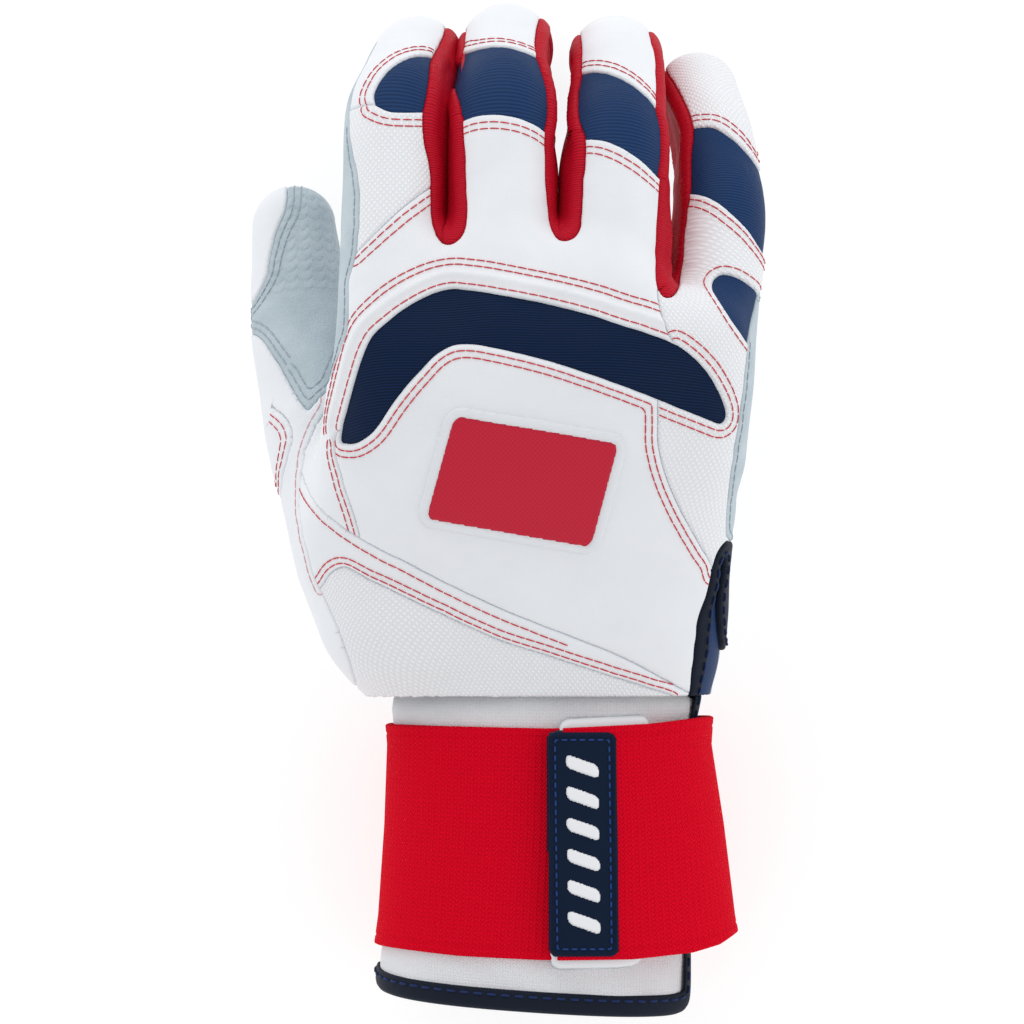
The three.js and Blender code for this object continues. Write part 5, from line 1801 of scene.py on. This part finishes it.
def strap_band(name, first, last, low, high, skin_material, lifted=None, inset=0.0, count=None,
               edge=0.02, droop=0.0, selvedged=1.0, corner=0.0):
    """A band on the wrist between two angles and two heights above the cuff."""
    count = count or int(abs(last - first) * 1.1)
    turns, long = even_turns(first, last, count, STRAP_PLACE, low)
    places = np.linspace(0, long, count)
    lift = np.zeros(count) if lifted is None else lifted(turns)
    top, foot = strap_edges(wrist(turns, STRAP_PLACE, low + lift)[:, 0])
    t = np.linspace(0, 1, STRAP_ROWS)
    t = t - 0.6 * np.sin(2 * np.pi * t) / (2 * np.pi)
    to_end = np.minimum(places, long - places) / max(corner, 0.01)
    inset = inset + corner * (1 - quarter_round(to_end))
    along = (top - inset)[:, None] + t[None] * (foot - top + 2 * inset)[:, None]
    height = (low + high) / 2 + lift[:, None] + 0 * along
    height = height - droop * (1 - rounded_profile(STRAP_ROWS, 0.12))[None]
    grid = wrist(turns[:, None], along, height)
    if lifted is not None:
        outward = np.maximum(np.cos(np.radians(turns)), 0)
        begun = np.where(turns > 180, soft_step(turns, TURN_FROM, TURN_TO), 1.0)
        grid[..., 0] += outward[:, None] * (FLARE_TOP + FLARE_MORE * t[None]) * begun[:, None]
    from_edge = np.minimum(t, 1 - t) - SELVEDGE / STRAP_WIDTH
    selvedge = np.exp(-(from_edge / SELVEDGE_WIDTH) ** 2) * selvedged
    profile = rounded_profile(STRAP_ROWS, edge) - 0.25 * selvedge
    half = (high - low) / 2 * profile[None] + 0 * along
    wide = np.linalg.norm(grid[:, -1] - grid[:, 0], axis=-1).mean()
    return slab(name, grid, np.maximum(half, 0.05), skin_material, flat_grid(places, t * wide))


def rising(turns):
    """How far the strap lifts off the cuff before it turns over the slit."""
    return TURN_RISE * soft_step(turns, TURN_FROM, TURN_TO)


wrap = strap_band("strap_wrap", 38, 300, 0.3, 1.8, "elastic")
wear(wrap, "hand", "elastic", "strap_wrap")
side = strap_band("strap_side", 300, 354.5, 0.3, 1.8, "elastic", lifted=rising, count=60)
bend(side, "hand", "strap_flap", (50, -74, 8), (50, -74, 21))
over = strap_band("strap_over", -5.5, 85.5, 3.3, 4.8, "elastic", lifted=np.zeros_like)
bend(over, "strap_flap", "strap_tongue", (43, -74, 47), (34, -74, 51))
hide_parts("strap_mid", "strap_end")
print("strap bands:", [len(band.data.polygons) for band in (wrap, side, over)], "faces")

# %% The hook and loop pads under the free end
loop = strap_band("loop_pad", 52, 86.5, 1.8, 2.15, "pad", inset=-2.0, edge=0.05, droop=1.5,
                  selvedged=0.0, corner=2.5)
wear(loop, "hand", "pile", "loop_pad")
hook = strap_band("hook_pad", 62, 84, 2.6, 3.3, "pile", inset=2.0, edge=0.05, selvedged=0.0,
                  corner=2.0)
wear(hook, "strap_tongue", "pile", "hook_pad")
print("pads:", loop.name, hook.name)

# %% The moulded tab
TAB_LEFT, TAB_RIGHT = 8.1, 24.1
TAB_TOP, TAB_FOOT = -49.0, -99.8
TAB_MIDDLE = np.array([(TAB_LEFT + TAB_RIGHT) / 2, (TAB_TOP + TAB_FOOT) / 2])
TAB_ROUND, TAB_SLANT = 2.2, 0.012
TAB_LOW, TAB_HIGH = 3.2, 5.3
TAB_LINE, TAB_LINE_FROM, TAB_LINE_TO = 0.32, 0.9, 1.2
TAB_THREAD_INSET, TAB_THREAD_PLACES = 1.9, 720


def on_strap(x, y, height):
    """A place above the strap by its place in the view."""
    share = (y - TAB_TOP) / (TAB_FOOT - TAB_TOP)
    middle, half = wrist_row(y)
    cosine = np.zeros(np.shape(x))
    for _ in range(6):
        flare = cosine * (FLARE_TOP + FLARE_MORE * share)
        cosine = np.clip((x - middle - flare) / (half + height), 0, 1) ** (CUFF_ROUNDNESS / 2)
    place = wrist(np.degrees(np.arccos(cosine)), y, height)
    place[..., 0] = x
    return place


def box_distance(x, y, half, radius):
    """Distance from a rounded box round zero, below zero inside."""
    dx, dy = np.abs(x) - half[0] + radius, np.abs(y) - half[1] + radius
    outside = np.hypot(np.maximum(dx, 0), np.maximum(dy, 0))
    return outside + np.minimum(np.maximum(dx, dy), 0) - radius


def tab_field(p, inset=0.0):
    """Distance from the rounded outline of the tab, below zero inside."""
    x, y = p[:, 0] - TAB_MIDDLE[0], p[:, 1] - TAB_MIDDLE[1]
    half = (TAB_RIGHT - TAB_LEFT) / 2 - inset, (TAB_TOP - TAB_FOOT) / 2 - inset
    return box_distance(x + y * TAB_SLANT, y, half, max(TAB_ROUND - inset, 0.4))


def flat_sheet(x0, x1, y0, y1, step):
    """Places and triangles of a flat sheet in the view."""
    xs, ys = np.arange(x0, x1 + step / 2, step), np.arange(y0, y1 + step / 2, step)
    x, y = np.meshgrid(xs, ys, indexing="ij")
    points = np.stack([x.ravel(), y.ravel(), np.zeros(x.size)], 1)
    a, b, c, d = grid_corners(np.arange(x.size).reshape(x.shape))
    return points, np.vstack([np.stack([a, b, c], 1), np.stack([a, c, d], 1)])


def moulded(name, field, box, step, height_at, place_of, skin_material, floor, edge):
    """A moulded piece: the inside of a field, raised to a height and rounded at its rim."""
    sheet = Skin(*flat_sheet(*box, step))
    sheet.cut("skin", field, name, "waste")
    patch = sheet.patch(name)
    gap = -field(patch.points)
    tall = floor + (height_at(gap) - floor) * quarter_round(gap / edge)
    outer = place_of(patch.points[:, 0], patch.points[:, 1], tall)
    inner = place_of(patch.points[:, 0], patch.points[:, 1], np.full(len(gap), floor))
    inner[:, 2] = np.minimum(inner[:, 2], outer[:, 2] - 0.02)
    points, body_faces = closed_body(outer, inner, patch.faces, edge_points(patch))
    places = patch.points[:, :2]
    return finished(name, points, body_faces, np.vstack([places, places]), skin_material)


def tab_height(gap):
    """A flat floor with a raised line round it."""
    return TAB_HIGH + TAB_LINE - TAB_LINE * soft_step(gap, TAB_LINE_FROM, TAB_LINE_TO)


def inset_ring(field, middle, inset, places):
    """A closed line at a distance inside an outline, found by halving along each direction."""
    turn = np.linspace(0, 2 * np.pi, places, endpoint=False)
    ways = np.stack([np.cos(turn), np.sin(turn)], 1)
    low, high = np.zeros(places), np.full(places, 40.0)
    for _ in range(24):
        half_way = (low + high) / 2
        ring = middle + ways * half_way[:, None]
        within = field(ring, inset) < 0
        low, high = np.where(within, half_way, low), np.where(within, high, half_way)
    return np.vstack([ring, ring[:1]])


tab_box = (TAB_LEFT - 1, TAB_RIGHT + 1.0, TAB_FOOT - 1, TAB_TOP + 1)
tab = moulded("strap_tab", tab_field, tab_box, 0.4, tab_height, on_strap, "rubber", TAB_LOW, 0.8)
wear(tab, "strap_tongue", "badge_rubber", "strap_tab")
ring = inset_ring(tab_field, TAB_MIDDLE, TAB_THREAD_INSET, TAB_THREAD_PLACES)
line, above = (on_strap(ring[:, 0], ring[:, 1], np.full(len(ring), high))
               for high in (TAB_HIGH, TAB_HIGH + 1))
tab_seam = laid_threads(line, above - line, 2.0, 1.35, 0.2)
follow(thread_object("stitches_strap_tab", tab_seam, "tab_thread"), "strap_tongue")
print("tab:", len(tab.data.vertices), "points")

# %% Grip bars on the tab
GRIP_COUNT, GRIP_PITCH, GRIP_SLANT = 6, 7.0, 0.35
GRIP_HALF, GRIP_ROUND = (3.7, 1.55), 1.2
GRIP_RISE, GRIP_SUNK = 0.55, 0.2


def grip_field(p):
    """Distance from the nearest grip bar, below zero inside it."""
    x, y = p[:, 0] - TAB_MIDDLE[0], p[:, 1] - TAB_MIDDLE[1]
    last = (GRIP_COUNT - 1) / 2
    row = np.clip(np.round(y / GRIP_PITCH - 0.5) + 0.5, -last, last)
    x = x + y * TAB_SLANT
    return box_distance(x, y - row * GRIP_PITCH + GRIP_SLANT * x, GRIP_HALF, GRIP_ROUND)


grip = moulded("tab_grip_bars", grip_field, tab_box, 0.3,
               lambda gap: np.full(len(gap), TAB_HIGH + GRIP_RISE), on_strap, "grip",
               TAB_HIGH - GRIP_SUNK, 0.45)
follow(grip, "strap_tongue")
print("grip bars:", GRIP_COUNT)

# %% [markdown]
# ## The badge on the back of the hand
#
# A soft moulded badge is welded on the back panel. It is a slanted plate with a pale rim
# and a fine diamond face, laid on the glove by dropping its flat outline on the skin.

# %% The badge
BADGE = np.array([(-0.104, 0.106), (0.210, 0.079), (0.222, 0.066), (0.172, -0.030),
                  (0.150, -0.041), (-0.168, -0.013), (-0.181, -0.001), (-0.128, 0.096)])
BADGE *= [GLOVE_WIDTH, GLOVE_LENGTH]
BADGE_RIM, BADGE_HIGH, BADGE_SUNK, BADGE_FACE = 2.1, 0.95, 0.45, 0.75
PANEL_TOP = 0.9


def top_of_skin(x, y):
    """How high the glove is at places seen from above."""
    z = np.full(len(x), 100.0)
    for _ in range(60):
        z -= 0.9 * skin_distance(np.stack([x, y, z], 1))
    return z


def on_back(x, y, height):
    """A place above the back panel by its place in the view."""
    place = np.stack([x, y, top_of_skin(x, y)], 1)
    return place + slope_of(place) * (height + PANEL_TOP)[:, None]


def rounded_outline(shape, radius):
    """An outline with its corners taken off, as a fine closed line."""
    fine = []
    for a, b in zip(shape, np.roll(shape, -1, 0)):
        count = max(2, int(np.linalg.norm(b - a) / 0.4))
        fine += [a + (b - a) * k / count for k in range(count)]
    fine = np.array(fine)
    for _ in range(int(radius * 18)):
        fine = 0.5 * fine + 0.25 * (np.roll(fine, 1, 0) + np.roll(fine, -1, 0))
    return fine


badge_outline = rounded_outline(BADGE, 1.0)


def badge_field(p):
    """Distance from the outline of the badge, below zero inside."""
    return inside_distance(p[:, :2], badge_outline)


(left, foot), (right, top) = BADGE.min(0) - 1, BADGE.max(0) + 1
badge_box = (left, right, foot, top)
badge = moulded("badge", badge_field, badge_box, 0.5,
                lambda gap: BADGE_HIGH - BADGE_SUNK * soft_step(gap, BADGE_RIM - 0.5, BADGE_RIM),
                on_back, "badge_rim", -PANEL_TOP, 0.6)
wear(badge, "hand", "badge_rubber", "badge")
face = moulded("badge_face", lambda p: badge_field(p) + BADGE_RIM, badge_box, 0.5,
               lambda gap: np.full(len(gap), BADGE_FACE), on_back, "badge_face", 0.2, 0.4)
follow(face, "hand")
print("badge", np.round(badge_box, 1))

# %% [markdown]
# ## The view, the floor and the light
#
# The glove lies on a white sheet in a light tent and is seen from straight above through a
# long lens. A tent is brighter at its sides than overhead, which is why the middle of the
# real glove looks a little darker than its edges. Two weak soft lamps give it direction.

# %% Camera, floor and lamps
scene = bpy.context.scene
for name in ("Cube", "Light", "Camera"):
    if name in bpy.data.objects:
        bpy.data.objects.remove(bpy.data.objects[name])
CAMERA_AWAY, VIEW_WIDTH, VIEW_HEIGHT = 2500.0, 230.1, 50.0
CAMERA_OVER = (0.11, 0.22)
TENT_ZENITH, TENT_RIM = 0.61, 1.12
SHEET_REACH, SHEET_COLOUR, SHEET_GLOW = 3.0, "#A4A4A4", 0.74
LAMPS = (("window", (-0.3, 1.5, 0.9), 1.0, 5.0), ("fill", (1.2, -0.3, 0.9), 1.2, 2.0))
LAMP_TARGET = np.array([0, 0, 0.03])
camera_data = bpy.data.cameras.new("view from above")
camera_data.lens = camera_data.sensor_width * CAMERA_AWAY / VIEW_WIDTH
camera = bpy.data.objects.new("view from above", camera_data)
camera.location = np.array([*CAMERA_OVER, VIEW_HEIGHT + CAMERA_AWAY]) * MM
scene.collection.objects.link(camera)
scene.camera = camera

lowest_point = min(0.0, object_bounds()[0][2])
corners = np.array([(-1, -1, 0), (1, -1, 0), (1, 1, 0), (-1, 1, 0)]) * SHEET_REACH
floor = mesh_object("white sheet", corners, [(0, 1, 2, 3)])
floor.location.z = lowest_point
paper, _, surface = material("white paper sheet", SHEET_COLOUR, 0.9, specular=0.0)
surface.inputs["Emission Color"].default_value = linear("#FFFFFF")
surface.inputs["Emission Strength"].default_value = SHEET_GLOW
floor.data.materials.append(paper)

for name, place, size, power in LAMPS:
    lamp_data = bpy.data.lights.new(name, "AREA")
    lamp_data.size, lamp_data.energy = size, power
    lamp = bpy.data.objects.new(name, lamp_data)
    lamp.location = place
    way = LAMP_TARGET - place
    tilt = math.atan2(math.hypot(way[0], way[1]), -way[2])
    lamp.rotation_euler = (tilt, 0, math.atan2(way[1], way[0]) - math.pi / 2)
    scene.collection.objects.link(lamp)

world = bpy.data.worlds.new("light tent")
scene.world = world
world.use_nodes = True
tent = world.node_tree
height = add(tent, "SeparateXYZ", {0: add(tent, "TexCoord", output="Generated")}, 2)
height = add(tent, "Math", {0: height, 1: 0.0}, operation="MAXIMUM")
bright = add(tent, "Math", {0: height, 1: TENT_ZENITH - TENT_RIM, 2: TENT_RIM},
             operation="MULTIPLY_ADD")
tent.links.new(bright, tent.nodes["Background"].inputs["Strength"])
tent.nodes["Background"].inputs["Color"].default_value = linear("#FFFFFF")
scene.view_settings.view_transform = "Standard"
